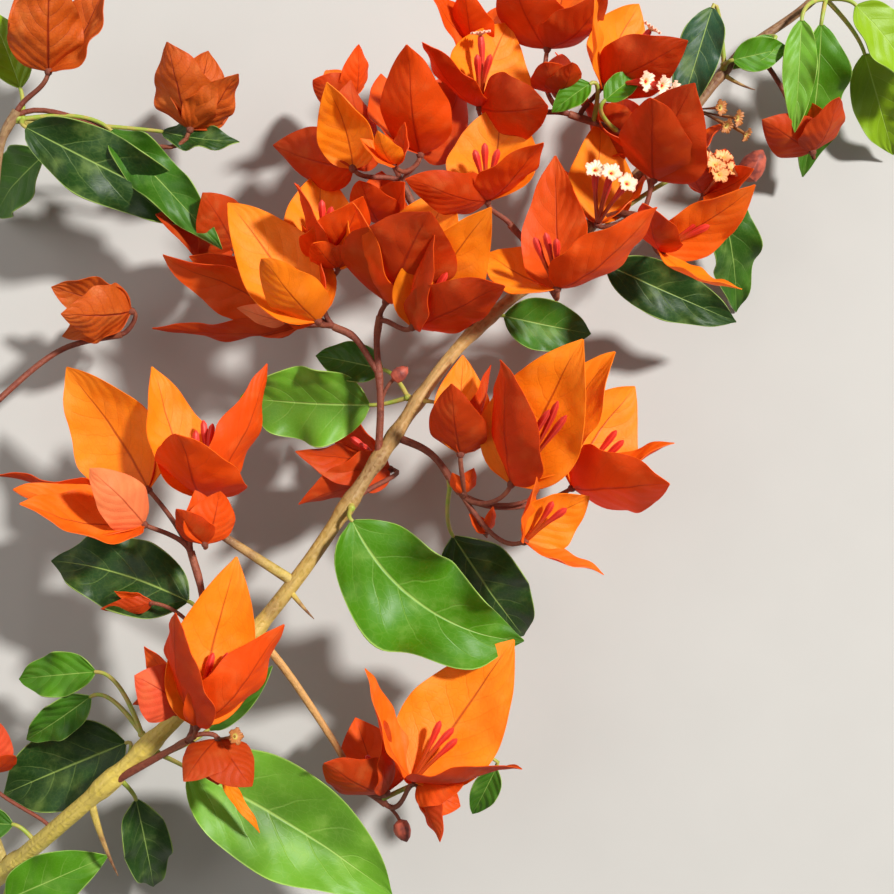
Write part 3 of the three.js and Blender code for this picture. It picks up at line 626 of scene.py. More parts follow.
class Piece:
    """Gathers the points, faces, blade coordinates and materials of one mesh."""

    def __init__(self):
        self.points = []
        self.faces = []
        self.marks = []
        self.slots = []

    def grid(self, rows, marks, slot=0, closed=False, flip=False):
        """Faces over rows of points. closed joins each row's end to its start."""
        start = len(self.points)
        columns = len(rows[0])
        for row, row_marks in zip(rows, marks):
            self.points.extend(row)
            self.marks.extend(row_marks)
        for r in range(len(rows) - 1):
            for c in range(columns if closed else columns - 1):
                a = start + r * columns + c
                b = start + r * columns + (c + 1) % columns
                face = (a, b, b + columns, a + columns)
                self.faces.append(face[::-1] if flip else face)
                self.slots.append(slot)
        return start

    def fan(self, ring, slot):
        """One face over a ring of points that are already there."""
        self.faces.append(tuple(ring))
        self.slots.append(slot)

    def shell(self, rows, marks, thick, slot=0, back=None, closed=False):
        """A thin closed solid over a curved sheet of points. back is the material of its other side."""
        sheet = np.array(rows)
        down = np.gradient(sheet, axis=0)
        if closed:
            across = np.roll(sheet, -1, axis=1) - np.roll(sheet, 1, axis=1)
        else:
            across = np.gradient(sheet, axis=1)
        out = np.cross(down, across)
        out /= np.maximum(np.linalg.norm(out, axis=2, keepdims=True), 1e-9)
        over = sheet + out * thick / 2
        under = sheet - out * thick / 2
        count, columns = sheet.shape[:2]
        top = self.grid(over, marks, slot, closed, flip=True)
        bottom = self.grid(under, marks, slot if back is None else back, closed)
        edges = []
        if not closed:
            for r in range(count - 1):
                edges.append(((r + 1) * columns, r * columns))
                edges.append((r * columns + columns - 1, (r + 1) * columns + columns - 1))
        last = (count - 1) * columns
        for c in range(columns if closed else columns - 1):
            after = (c + 1) % columns
            edges.append((c, after))
            edges.append((last + after, last + c))
        for a, b in edges:
            self.faces.append((top + a, top + b, bottom + b, bottom + a))
            self.slots.append(slot)

    def rod(self, line, radius, sides, rings, slot=0):
        """A round rod along a line. radius is a function of the share and the angle round it."""
        side = beside_of(line.along(0))
        rows = []
        marks = []
        for i in range(rings + 1):
            share = i / rings
            along = line.along(share)
            side = unit(side - along * np.dot(side, along))
            up = np.cross(along, side)
            centre = line.at(share)
            row = []
            for j in range(sides):
                angle = 2 * math.pi * j / sides
                spoke = side * math.cos(angle) + up * math.sin(angle)
                row.append(centre + spoke * radius(share, angle))
            rows.append(row)
            marks.append([(share, j / sides) for j in range(sides)])
        first = self.grid(rows, marks, slot, closed=True)
        last = first + rings * sides
        self.fan(range(first, first + sides)[::-1], slot)
        self.fan(range(last, last + sides), slot)

    def ball(self, centre, radius, along=UP, stretch=1.0):
        """A rounded knob, stretched along a direction."""
        tip = np.array(centre) + along * radius * stretch
        foot = np.array(centre) - along * radius * stretch
        line = Line(bezier(foot, tip), 4)

        def bulge(share, angle):
            return max(0.02, radius * math.sqrt(max(0.0, 1 - (2 * share - 1) ** 2)))

        self.rod(line, bulge, 12, 7)

    def make(self, name, materials, sharp_over=SHARP_BLADE):
        """The finished object, in metres and in the frame's place."""
        mesh = bpy.data.meshes.new(name)
        points = np.array(self.points) * MM + shift
        mesh.from_pydata(points.tolist(), [], self.faces)
        marks = mesh.uv_layers.new(name="Blade")
        corners = np.array([self.marks[loop.vertex_index] for loop in mesh.loops], float)
        marks.data.foreach_set("uv", corners.ravel())
        for material in materials:
            mesh.materials.append(material)
        mesh.polygons.foreach_set("material_index", self.slots)
        mesh.polygons.foreach_set("use_smooth", [True] * len(mesh.polygons))
        mesh.set_sharp_from_angle(angle=math.radians(sharp_over))
        mesh.validate()
        piece = bpy.data.objects.new(name, mesh)
        bpy.context.scene.collection.objects.link(piece)
        return piece


def outline(kind, share):
    """How wide a blade is, over its greatest width, at a share of its length."""
    widest = kind.early / (kind.early + kind.late)
    return (share / widest) ** kind.early * ((1 - share) / (1 - widest)) ** kind.late


def blade(piece, kind, at, forward, face, length, lean, width, sway, wave, seed, grid, slot,
          thick, look, back=None, cups=(1.0, 1.0)):
    """A thin curved blade whose midrib bends as lean and sway say and whose halves cup upwards."""
    rows, columns = grid
    left = np.cross(face, forward)
    centre = np.array(at, float)
    chance = random.Random(seed)
    phases = (chance.uniform(0, 6.3), chance.uniform(0, 6.3))
    sheet = []
    marks = []
    for step in range(rows + 1):
        share = step / rows
        pitch = math.radians(lean(share))
        yaw = math.radians(sway * (share - 0.5))
        ahead = forward * math.cos(yaw) + left * math.sin(yaw)
        along = ahead * math.cos(pitch) + face * math.sin(pitch)
        above = face * math.cos(pitch) - ahead * math.sin(pitch)
        beside = np.cross(above, along)
        least = FOOT * 0.6 * (1 - share) ** 8 + look.point * length
        half = max(outline(kind, share) * width * length / 2, least)
        row = []
        row_marks = []
        for column in range(columns + 1):
            edge = 2 * column / columns - 1
            side = 0 if edge > 0 else 1
            fold = math.radians(kind.fold)
            cup = math.radians(kind.cup) * cups[side] + 1e-4
            reach = abs(edge)
            across = half * (math.sin(fold + cup * reach) - math.sin(fold)) / cup
            lift = half * (math.cos(fold) - math.cos(fold + cup * reach)) / cup
            ripple = math.sin(2 * math.pi * WAVES * share + phases[side]) * reach**2
            lift += wave * length * ripple * outline(kind, share)
            point_at = centre + beside * math.copysign(across, edge) + above * lift
            soft = look.crumple * length * min(1.0, 4 * share)
            fine = FINE_DEPTH * wobble(point_at, FINE_DENTS, seed)[1]
            dents = wobble(point_at, BROAD_DENTS, seed)[0] + fine
            row.append(point_at + above * soft * dents)
            row_marks.append((share, 0.5 + 0.5 * edge))
        sheet.append(row)
        marks.append(row_marks)
        centre = centre + along * length / rows
    piece.shell(sheet, marks, thick, slot, back)


class Shade:
    """One socket of a material's nodes. Plain arithmetic on it adds Math nodes."""

    def __init__(self, nodes, socket):
        self.nodes = nodes
        self.socket = socket

    def math(self, operation, *others):
        values = dict(enumerate((self, *others)))
        return self.nodes.add("ShaderNodeMath", {"operation": operation}, values)

    def __add__(self, other):
        return self.math("ADD", other)

    def __radd__(self, other):
        return self.math("ADD", other)

    def __sub__(self, other):
        return self.math("SUBTRACT", other)

    def __rsub__(self, other):
        return self.nodes.add("ShaderNodeMath", {"operation": "SUBTRACT"}, {0: other, 1: self})

    def __mul__(self, other):
        return self.math("MULTIPLY", other)

    def __rmul__(self, other):
        return self.math("MULTIPLY", other)

    def __pow__(self, other):
        return self.math("POWER", other)

    def size(self):
        return self.math("ABSOLUTE")

    def fold(self, width):
        """A zigzag from 0 to width and back."""
        return self.math("PINGPONG", width)

    def eased(self, low, high, at_low=0.0, at_high=1.0):
        """at_low below low, at_high above high, and a smooth step between."""
        settings = {"interpolation_type": "SMOOTHSTEP"}
        return self.nodes.add(
            "ShaderNodeMapRange", settings, {0: self, 1: low, 2: high, 3: at_low, 4: at_high}
        )


class Nodes:
    """The nodes of one material, added by type, settings and the values or links of its sockets."""

    def __init__(self, name):
        self.material = bpy.data.materials.new(name)
        self.material.use_nodes = True
        self.tree = self.material.node_tree
        self.tree.nodes.clear()

    def add(self, kind, settings=None, values=None, output=0):
        node = self.tree.nodes.new(kind)
        for name, value in (settings or {}).items():
            if name == "stops":
                self.set_stops(node.color_ramp, value)
            else:
                setattr(node, name, value)
        for key, value in (values or {}).items():
            if isinstance(value, Shade):
                self.tree.links.new(value.socket, node.inputs[key])
            else:
                node.inputs[key].default_value = value
        return Shade(self, node.outputs[output]) if node.outputs else None

    def set_stops(self, ramp, stops):
        while len(ramp.elements) < len(stops):
            ramp.elements.new(1.0)
        for element, (place, colour) in zip(ramp.elements, stops):
            element.position = place
            element.color = colour

    def mix(self, first, second, factor):
        """One colour at factor 0 and the other at factor 1."""
        return self.add("ShaderNodeMix", {"data_type": "RGBA"}, {0: factor, 6: first, 7: second}, 2)

    def marks(self):
        """The two blade coordinates of a point."""
        uv = self.add("ShaderNodeUVMap", {"uv_map": "Blade"})
        share = self.add("ShaderNodeSeparateXYZ", None, {0: uv}, 0)
        return uv, share, Shade(self, share.socket.node.outputs[1])

    def place(self):
        """A point's place on the object, in metres."""
        return self.add("ShaderNodeTexCoord", None, None, 3)

    def stretched(self, vector, scales):
        return self.add("ShaderNodeVectorMath", {"operation": "MULTIPLY"}, {0: vector, 1: scales})

    def noise(self, vector, scale, detail=3.0, rough=0.5):
        values = {"Vector": vector, "Scale": scale, "Detail": detail, "Roughness": rough}
        return self.add("ShaderNodeTexNoise", None, values)

    def cells(self, vector, scale):
        """The distance to the nearest cell wall."""
        settings = {"feature": "DISTANCE_TO_EDGE"}
        return self.add("ShaderNodeTexVoronoi", settings, {"Vector": vector, "Scale": scale})

    def bump(self, height, strength, depth):
        values = {"Strength": strength, "Distance": depth, "Height": height}
        return self.add("ShaderNodeBump", None, values)

    def surface(self, colour, rough, normal, through=None, share=0.0, **uniform):
        """The finished material. through is the colour of the light that shines through it."""
        values = {"Base Color": colour, "Roughness": rough, "Normal": normal}
        values.update({name.replace("_", " "): value for name, value in uniform.items()})
        shader = self.add("ShaderNodeBsdfPrincipled", None, values)
        if share:
            glow = self.add("ShaderNodeBsdfTranslucent", None, {"Color": through})
            shader = self.add("ShaderNodeMixShader", None, {0: share, 1: shader, 2: glow})
        self.add("ShaderNodeOutputMaterial", None, {0: shader})
        return self.material


def blend(first, second, factor):
    """A colour between two others, worked out before any node is made."""
    return tuple(a + (b - a) * factor for a, b in zip(first, second))


def bract_material(name, colour, veins, settings, glow, dry=False):
    """A papery bract: a midrib, side veins that curve to the tip, and a fine net between them."""
    nodes = Nodes(name)
    uv, share, across = nodes.marks()
    place = nodes.place()
    reach = (across - 0.5).size() * 2
    warp = nodes.noise(place, 90.0)
    line = (reach * (share * 0.6 + 0.7)).eased(0.004, 0.04, 1.0, 0.0)
    midrib = line * share.eased(0.8, 1.0, 1.0, 0.4)
    zigzag = (share * 7.0 - reach ** 1.2 * 2.1 + (across - 0.5) * 0.9 + (warp - 0.5) * 0.6).fold(0.5)
    side = zigzag.eased(0.0, 0.05, 1.0, 0.0) * reach.eased(0.5, 0.95, 1.0, 0.0)
    net = nodes.cells(nodes.stretched(uv, (21.0, 17.0, 1.0)), 1.0).eased(0.0, 0.1, 1.0, 0.0)
    mottle = nodes.noise(place, 160.0)
    broad = nodes.noise(place, 38.0, 2.0)
    paler = blend(colour, (1.0, 0.62, 0.16, 1.0), 0.3)
    darker = blend(colour, (0.7, 0.06, 0.002, 1.0), 0.4)
    ground = nodes.mix(darker, colour, broad.eased(0.12, 0.4))
    ground = nodes.mix(ground, paler, mottle.eased(0.48, 0.75) * 0.35)
    ground = nodes.mix(ground, darker, share.eased(0.0, 0.3, 0.7, 0.0))
    ground = nodes.mix(ground, darker, reach.eased(0.93, 1.0) * 0.3)
    strength = settings.vein_strength * (2.2 if dry else 1.0)
    ground = nodes.mix(ground, veins, net * 0.09 * strength)
    ground = nodes.mix(ground, veins, side * 0.14 * strength)
    ground = nodes.mix(ground, veins, midrib * min(1.0, 0.7 * strength))
    relief = zigzag.eased(0.0, 0.5) * 0.6 - side * 0.3 - net * 0.15 - midrib + mottle * 0.25
    rough = mottle * 0.14 + 0.5
    through = blend(colour, (1.0, 0.16, 0.0, 1.0), 0.25)
    normal = nodes.bump(relief, 0.6 if dry else 0.32, 0.0006)
    return nodes.surface(ground, rough, normal, through, glow, Specular_IOR_Level=0.35)


def leaf_material(name, colour, light, settings):
    """A glossy leaf with a pale midrib, side veins and rim."""
    nodes = Nodes(name)
    uv, share, across = nodes.marks()
    place = nodes.place()
    reach = (across - 0.5).size() * 2
    warp = nodes.noise(place, 70.0)
    midrib = (reach * (share * 0.8 + 0.6)).eased(0.006, 0.034, 1.0, 0.0)
    zigzag = (share * 5.5 - reach ** 1.2 * 1.6 + (across - 0.5) * 0.7 + (warp - 0.5) * 0.5).fold(0.5)
    side = zigzag.eased(0.0, 0.045, 1.0, 0.0) * reach.eased(0.35, 0.9, 1.0, 0.0)
    net = nodes.cells(nodes.stretched(uv, (26.0, 18.0, 1.0)), 1.0).eased(0.0, 0.09, 1.0, 0.0)
    mottle = nodes.noise(place, 120.0)
    broad = nodes.noise(place, 30.0, 2.0)
    darker = blend(colour, (0.005, 0.02, 0.003, 1.0), 0.5)
    ground = nodes.mix(darker, colour, broad.eased(0.28, 0.55))
    ground = nodes.mix(ground, light, mottle.eased(0.52, 0.8) * 0.2)
    ground = nodes.mix(ground, light, net * 0.05)
    ground = nodes.mix(ground, light, side * 0.16)
    ground = nodes.mix(ground, light, midrib * 0.55)
    ground = nodes.mix(ground, light, reach.eased(0.965, 0.995) * 0.6)
    height = mottle * 0.3 + zigzag.eased(0.0, 0.5) * 0.8 - midrib - side * 0.35 - net * 0.06
    rough = mottle * 0.18 + settings.roughness
    return nodes.surface(
        ground, rough, nodes.bump(height, 0.42, 0.0006), light, settings.glow,
        Specular_IOR_Level=0.3,
    )


def cane_material(name, stops, dark, pale):
    """Bark that changes along the cane, with fine ridges, pale dots and darker patches and streaks."""
    nodes = Nodes(name)
    uv, share, _ = nodes.marks()
    place = nodes.place()
    streaks = nodes.noise(nodes.stretched(uv, (60.0, 9.0, 1.0)), 1.0, 5.0, 0.65)
    patches = nodes.noise(place, 60.0, 3.0)
    grain = nodes.noise(place, 900.0, 2.0)
    dots = nodes.cells(place, 420.0).eased(0.1, 0.3, 1.0, 0.0)
    base = nodes.add("ShaderNodeValToRGB", {"stops": stops}, {0: share})
    ground = nodes.mix(base, dark, patches.eased(0.52, 0.72) * 0.55)
    ground = nodes.mix(ground, dark, streaks.eased(0.5, 0.7) * 0.4)
    ground = nodes.mix(ground, pale, streaks.eased(0.3, 0.45, 1.0, 0.0) * 0.3)
    ground = nodes.mix(ground, pale, dots * patches * 0.25)
    height = streaks + grain * 0.4 + dots * 0.3
    return nodes.surface(ground, grain * 0.2 + 0.5, nodes.bump(height, 0.6, 0.0005))


def skin_material(name, colour, second, rough):
    """A small plain surface with soft patches of a second colour and a fine grain."""
    nodes = Nodes(name)
    place = nodes.place()
    patches = nodes.noise(place, 300.0)
    grain = nodes.noise(place, 1800.0)
    ground = nodes.mix(colour, second, patches.eased(0.42, 0.62))
    height = patches + grain * 0.5
    return nodes.surface(ground, grain * 0.15 + rough, nodes.bump(height, 0.4, 0.0003))


def tube_material(name, colour, foot, groove):
    """A flower tube: one colour at its foot, another at its head, darker between the ribs."""
    nodes = Nodes(name)
    _, share, around = nodes.marks()
    grain = nodes.noise(nodes.place(), 1500.0)
    ribs = (around * 5.0).fold(0.5) * 2
    ground = nodes.mix(foot, colour, share.eased(0.45, 0.75))
    ground = nodes.mix(ground, groove, ribs.eased(0.55, 1.0) * 0.45 + grain * 0.1)
    return nodes.surface(ground, 0.5, nodes.bump(grain, 0.3, 0.0002), colour, 0.15)


def star_material(name, colour, rim):
    """An open flower: a yellow throat, a pale limb and a tinted rim."""
    nodes = Nodes(name)
    _, share, _ = nodes.marks()
    grain = nodes.noise(nodes.place(), 1200.0)
    ground = nodes.mix((0.6, 0.5, 0.1, 1.0), colour, share.eased(0.05, 0.35))
    ground = nodes.mix(ground, rim, share.eased(0.75, 1.0) * 0.5 + grain * 0.15)
    return nodes.surface(ground, 0.55, nodes.bump(grain, 0.3, 0.0002), colour, 0.2)


def solid_colour(red, green, blue):
    """A colour as a screen shows it, 0 to 255, turned into the linear values that shaders take."""
    parts = [value / 255 for value in (red, green, blue)]
    return (*[p / 12.92 if p <= 0.04045 else ((p + 0.055) / 1.055) ** 2.4 for p in parts], 1.0)


def colour_property(name, description, colour):
    """A colour that a user may change."""
    return bpy.props.FloatVectorProperty(
        name=name, description=description, default=colour, subtype="COLOR", size=4, min=0.0, max=1.0
    )


class BractSettings(bpy.types.PropertyGroup):
    """What a user may change on the bracts and flowers."""

    # Amber, orange, deep and red are lit and shaded copies of one orange: amber is painted light, orange is
    # a little less lit, and deep and red are painted shade
    amber: colour_property("Amber", "The inner sides of full-grown bracts", solid_colour(255, 150, 16))
    orange: colour_property("Orange", "Their backs, and most other inner sides", solid_colour(252, 121, 14))
    deep: colour_property("Deep", "Young bracts and shaded ones", solid_colour(240, 95, 8))
    red: colour_property("Red", "The backs of deep bracts", solid_colour(206, 74, 8))
    coral: colour_property("Coral", "The backs of young bracts", solid_colour(236, 96, 56))
    # Salmon is partly a back's own paler colour and partly painted light, the pale pink of a back in full
    # light
    salmon: colour_property("Salmon", "The back of an old bract", solid_colour(250, 152, 92))
    papery: colour_property("Papery", "Bracts that have dried", solid_colour(212, 100, 22))
    vein: colour_property("Vein", "Midribs and veins", solid_colour(142, 36, 8))
    thickness: bpy.props.FloatProperty(
        name="Thickness", description="Thickness of a bract", default=0.00025, subtype="DISTANCE"
    )
    vein_strength: bpy.props.FloatProperty(
        name="Veins", description="How strongly the veins show", default=1.0, subtype="FACTOR", max=2.0
    )
    glow: bpy.props.FloatProperty(
        name="Glow", description="Share of light that shines through", default=0.4, subtype="FACTOR"
    )
    edge_wave: bpy.props.FloatProperty(
        name="Edge wave", description="Wave of a bract's edge over its length", default=0.022,
        subtype="FACTOR"
    )
    tube: colour_property("Tube", "Flower tubes", solid_colour(228, 54, 36))
    star: colour_property("Star", "Open flowers", solid_colour(252, 226, 196))


class LeafSettings(bpy.types.PropertyGroup):
    """What a user may change on the leaves."""

    bright: colour_property("Bright", "Leaves in full light", solid_colour(70, 124, 6))
    green: colour_property("Green", "Most leaves", solid_colour(56, 104, 16))
    dark: colour_property("Dark", "Old and shaded leaves", solid_colour(28, 60, 13))
    # Pale is a paler green that paints in the sheen of light on a glossy leaf: painted sheen
    pale: colour_property("Pale", "Leaves with a bloom on them", solid_colour(102, 154, 36))
    yellow: colour_property("Yellow", "Young leaves", solid_colour(130, 164, 14))
    # Blue is a dark green with a bluish sheen of reflected light painted into it
    blue: colour_property("Blue", "Leaves with a blue cast", solid_colour(34, 68, 44))
    vein: colour_property("Vein", "Midribs, veins and rims", solid_colour(178, 206, 104))
    thickness: bpy.props.FloatProperty(
        name="Thickness", description="Thickness of a leaf", default=0.0003, subtype="DISTANCE"
    )
    roughness: bpy.props.FloatProperty(
        name="Roughness", description="How dull a leaf is", default=0.38, subtype="FACTOR"
    )
    glow: bpy.props.FloatProperty(
        name="Glow", description="Share of light that shines through", default=0.16, subtype="FACTOR"
    )


class CaneSettings(bpy.types.PropertyGroup):
    """What a user may change on the canes and stems."""

    bark_dark: colour_property("Dark bark", "Streaks and joints", solid_colour(92, 54, 28))
    bark_pale: colour_property("Pale bark", "Dots and ridges", solid_colour(214, 186, 128))
    stem: colour_property("Stem", "Side stems and stalks", solid_colour(118, 50, 30))
    shoot: colour_property("Shoot", "Leaf stalks", solid_colour(140, 156, 52))
    joint_swell: bpy.props.FloatProperty(
        name="Joint swell", description="How much a joint is thicker", default=0.28, subtype="FACTOR"
    )
    bark_relief: bpy.props.FloatProperty(
        name="Bark relief", description="Depth of the ridges over the radius", default=0.02,
        subtype="FACTOR"
    )


class StageSettings(bpy.types.PropertyGroup):
    """The floor, the lights and the camera."""

    floor: colour_property("Floor", "The floor's colour", solid_colour(178, 175, 169))
    height: bpy.props.FloatProperty(
        name="Camera height", description="Camera above the ground", default=0.505, subtype="DISTANCE"
    )
    view: bpy.props.FloatProperty(
        name="Field of view", description="Width of the view", default=0.5794, subtype="ANGLE"
    )


# The look of a bract's inner side by its letter, and the letter of the look of its back. The letters pick
# lit and shaded copies of one orange, painted light and painted shade, and the back of an orange or a
# deep bract takes the next darker copy, painted shade
TONES = {"A": "amber", "O": "orange", "D": "deep", "C": "coral", "S": "salmon", "P": "papery", "R": "red"}
BACKS = {"A": "A", "O": "D", "D": "R", "C": "C", "S": "S", "P": "P", "R": "R"}


def bract_materials(settings):
    """One material for each look of bract, in the order of TONES. More light comes through dark ones."""
    materials = []
    for tone in TONES.values():
        colour = getattr(settings, tone)[:]
        glow = settings.glow + (0.08 if tone in ("deep", "red") else 0.0)
        materials.append(
            bract_material(f"bract_{tone}", colour, settings.vein[:], settings, glow, tone == "papery")
        )
    return materials


def add_bracts(piece, at, bracts, tones, settings, seed):
    """The three bracts of one bloom, each a little different in its bow, its twist and its cup."""
    middle = middle_of(bracts)
    slots = list(TONES)
    chance = random.Random(seed)
    for number, (heading, rise, flat, length, width) in enumerate(bracts):
        forward = aim(heading, rise)
        tone = tones[number]
        dry = tone == "P"
        bow = chance.uniform(*BOW)
        flare = chance.uniform(*FLARE)

        def lean(share):
            return bow * (2 * share - 1) - flare * max(0.0, (share - FLARE_START) / (1 - FLARE_START))

        blade(
            piece, BRACT, at, forward, bract_face(forward, middle, flat), length, lean, width,
            chance.uniform(*TWIST), settings.edge_wave * (DRY_WAVE if dry else 1.0), seed * 3 + number,
            BRACT_GRID, slots.index(tone), settings.thickness / MM, DRY_LOOK if dry else FRESH_LOOK,
            back=slots.index(BACKS[tone]), cups=(chance.uniform(*CUPPING), chance.uniform(*CUPPING)),
        )


def ready(piece, slot, *nodes):
    """Makes a finished piece ride on the branch and stand for its solids, if any. slot is not used."""
    if nodes:
        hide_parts(*nodes)
    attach(piece, "root")


class BRANCH_OT_bracts(bpy.types.Operator):
    """Build the three papery bracts of every bloom and young bloom"""

    bl_idname = "branch.bracts"
    bl_label = "Bracts"

    def execute(self, context):
        settings = context.scene.branch_bracts
        materials = bract_materials(settings)
        for seed, (name, bloom) in enumerate(BLOOMS.items()):
            piece = Piece()
            add_bracts(piece, bloom.at, bloom.bracts, bloom.tones, settings, seed)
            if name in PARTNERS:
                add_bracts(piece, *PARTNERS[name], settings, PARTNER_SEED + seed)
            made = piece.make(f"{name}_bracts", materials)
            ready(made, "papery" if "P" in bloom.tones else "fresh", name)
        tiny_piece = Piece()
        for seed, tiny in enumerate(TINY_BLOOMS):
            add_bracts(tiny_piece, tiny.at, tiny.bracts, tiny.tones, settings, TINY_SEED + seed)
        ready(tiny_piece.make("tiny_bracts", materials), "fresh")
        return {"FINISHED"}


# The radius of a flower tube at shares of its length, in millimetres: a swollen foot, a waist and a
# rounded head. Then the same of a bud, over its greatest radius
TUBE_SHARES = (0, 0.12, 0.35, 0.62, 0.85, 0.95, 1)
TUBE_RADII = (0.5, 0.75, 0.58, 0.66, 1.08, 0.9, 0.25)
BUD_SHARES = (0, 0.12, 0.35, 0.6, 0.85, 1)
BUD_RADII = (0.25, 0.85, 1.0, 0.94, 0.6, 0.08)


def tube_radius(share, angle):
    """The radius of a flower tube with its five ribs."""
    return float(np.interp(share, TUBE_SHARES, TUBE_RADII)) * (1 + 0.09 * math.cos(5 * angle))


Flower = namedtuple("Flower", "foot head tone radius tube")

# Flowers that stand on their own: the open cluster and the dried stars beside the crown, and the
# dried one on a young bloom
LOOSE_FLOWERS = (
    Flower((78.6, 77.4, 47), (77.9, 86.3, 56), "peach", 3.0, 0.8),
    Flower((78.6, 77.4, 47), (79.9, 84.1, 59), "peach", 3.2, 0.8),
    Flower((78.6, 77.4, 47), (82.5, 86.7, 57), "peach", 3.0, 0.8),
    Flower((78.6, 77.4, 47), (80.9, 80.9, 60), "peach", 3.0, 0.8),
    Flower((78.6, 77.4, 47), (85.4, 83, 56), "peach", 2.7, 0.8),
    Flower((76.5, 104.5, 41), (83, 103, 50), "dry", 2.6, 0.5),
    Flower((76.5, 104.5, 41), (88, 99.5, 51), "dry", 2.8, 0.5),
    Flower((76.5, 104.5, 41), (84.5, 97, 52), "dry", 2.5, 0.5),
    Flower((76.5, 104.5, 41), (91, 95, 49), "dry", 2.4, 0.5),
    Flower((-66, -84, 74), (-60, -82, 80), "dry", 2.6, 0.6),
)
STAR_TONES = ("cream", "peach", "dry")

# An open flower in millimetres, and the rings and steps of its faces
STAR_RADIUS = 3.2
STAR_MOUTH = 0.5
STAR_RINGS = 7
STAR_STEPS = 60
STAR_THICKNESS = 0.2


def add_star(piece, centre, along, radius, seed, slot=0):
    """An open flower: a frilled disc of five lobes that flares from the tube's mouth."""
    side = unit(np.cross(along, beside_of(along)))
    other = np.cross(along, side)
    rows = []
    marks = []
    for ring in range(STAR_RINGS + 1):
        out = ring / STAR_RINGS
        row = []
        row_marks = []
        for step in range(STAR_STEPS):
            angle = 2 * math.pi * step / STAR_STEPS
            lobe = 1 - 0.3 * out * (0.5 - 0.5 * math.cos(5 * angle)) ** 1.5
            frill = 0.12 * radius * out**2 * math.sin(15 * angle + seed)
            reach = STAR_MOUTH + (radius - STAR_MOUTH) * out * lobe
            lift = 0.3 * radius * math.sin(out * 1.7) + frill
            row.append(centre + (side * math.cos(angle) + other * math.sin(angle)) * reach + along * lift)
            row_marks.append((out, step / STAR_STEPS))
        rows.append(row)
        marks.append(row_marks)
    piece.shell(rows, marks, STAR_THICKNESS, slot, closed=True)


def add_tube(piece, foot, head, seed, size=1.0, slot=0):
    """A flower tube from the middle of a bloom to its head. It gives the way the head points."""
    foot = np.array(foot, float)
    head = np.array(head, float)
    bend = random.Random(seed).uniform(-0.08, 0.08) * np.cross(head - foot, UP)
    line = Line(bezier(foot, (foot + head) / 2 + bend, head), 12)
    piece.rod(line, lambda share, angle: size * tube_radius(share, angle), 15, 20, slot)
    return line.along(1)


def add_bud(piece, bud, seed):
    """A closed bud: three bracts still wrapped round each other to a point, with a keel on each."""
    way = aim(bud.heading, 10)
    middle = np.array(bud.at, float)
    line = Line(bezier(middle - way * bud.length / 2, middle + way * bud.length / 2), 8)

    def radius(share, angle):
        plain = float(np.interp(share, BUD_SHARES, BUD_RADII)) * bud.length * 0.36
        keel = 0.16 * max(0.0, math.cos(3 * angle + seed)) ** 3 * math.sin(math.pi * share)
        return plain * (1 + keel)

    piece.rod(line, radius, 30, 24)


class BRANCH_OT_flowers(bpy.types.Operator):
    """Build the flower tubes among the bracts, the open stars at their ends and the closed buds"""

    bl_idname = "branch.flowers"
    bl_label = "Flowers"

    def execute(self, context):
        settings = context.scene.branch_bracts
        tubes = Piece()
        stars = Piece()
        for seed, bloom in enumerate(BLOOMS.values()):
            for number, head in enumerate(bloom.flowers):
                add_tube(tubes, bloom.at, head, seed * 7 + number)
            for number, head in enumerate(bloom.stars):
                way = add_tube(tubes, bloom.at, head, seed * 7 + number + 3)
                add_star(stars, np.array(head) - way * 0.5, way, STAR_RADIUS, seed + number)
        for seed, flower in enumerate(LOOSE_FLOWERS):
            slot = STAR_TONES.index(flower.tone)
            way = add_tube(tubes, flower.foot, flower.head, seed, flower.tube, slot)
            add_star(stars, np.array(flower.head) - way * 0.4, way, flower.radius, seed, slot)
        orange = solid_colour(190, 76, 14)
        brown = solid_colour(104, 60, 26)
        materials = [
            tube_material("tube_fresh", settings.tube[:], orange, solid_colour(140, 20, 12)),
            tube_material("tube_peach", solid_colour(236, 150, 70), orange, solid_colour(190, 80, 30)),
            tube_material("tube_dry", solid_colour(160, 104, 50), brown, brown),
        ]
        ready(tubes.make("flower_tubes", materials), "fresh")
        materials = [
            star_material("flower_cream", settings.star[:], solid_colour(250, 176, 150)),
            star_material("flower_peach", solid_colour(248, 186, 120), solid_colour(232, 120, 70)),
            star_material("flower_dry", solid_colour(190, 120, 60), solid_colour(120, 70, 36)),
        ]
        ready(stars.make("flower_stars", materials), "fresh")
        buds = Piece()
        for seed, bud in enumerate(BUDS):
            add_bud(buds, bud, seed)
        skin = skin_material("bud_skin", solid_colour(168, 74, 50), solid_colour(112, 44, 34), 0.55)
        ready(buds.make("buds", [skin]), "papery")
        return {"FINISHED"}


# How far a joint's swelling reaches along its limb, in millimetres, and how many ridges the bark has
JOINT_REACH = 3.2
RIDGES = 7

# The radii of the thinner stalks and of the knots in which bracts meet, in millimetres, and how much
# longer than round a knot is
PARTNER_STALK = 0.7
TINY_STALK = 0.6
BUD_STALK = 0.55
BLOOM_KNOT = 1.25
PARTNER_KNOT = 1.0
TINY_KNOT = 0.8
KNOT_STRETCH = 1.2


def joints_of(name):
    """The shares of a limb's length at which something grows from it."""
    shares = [limb.share for limb in LIMBS.values() if limb.parent == name]
    shares += [bloom.share for bloom in BLOOMS.values() if bloom.limb == name]
    shares += [spray.share for spray in SPRAYS.values() if spray.limb == name]
    return shares


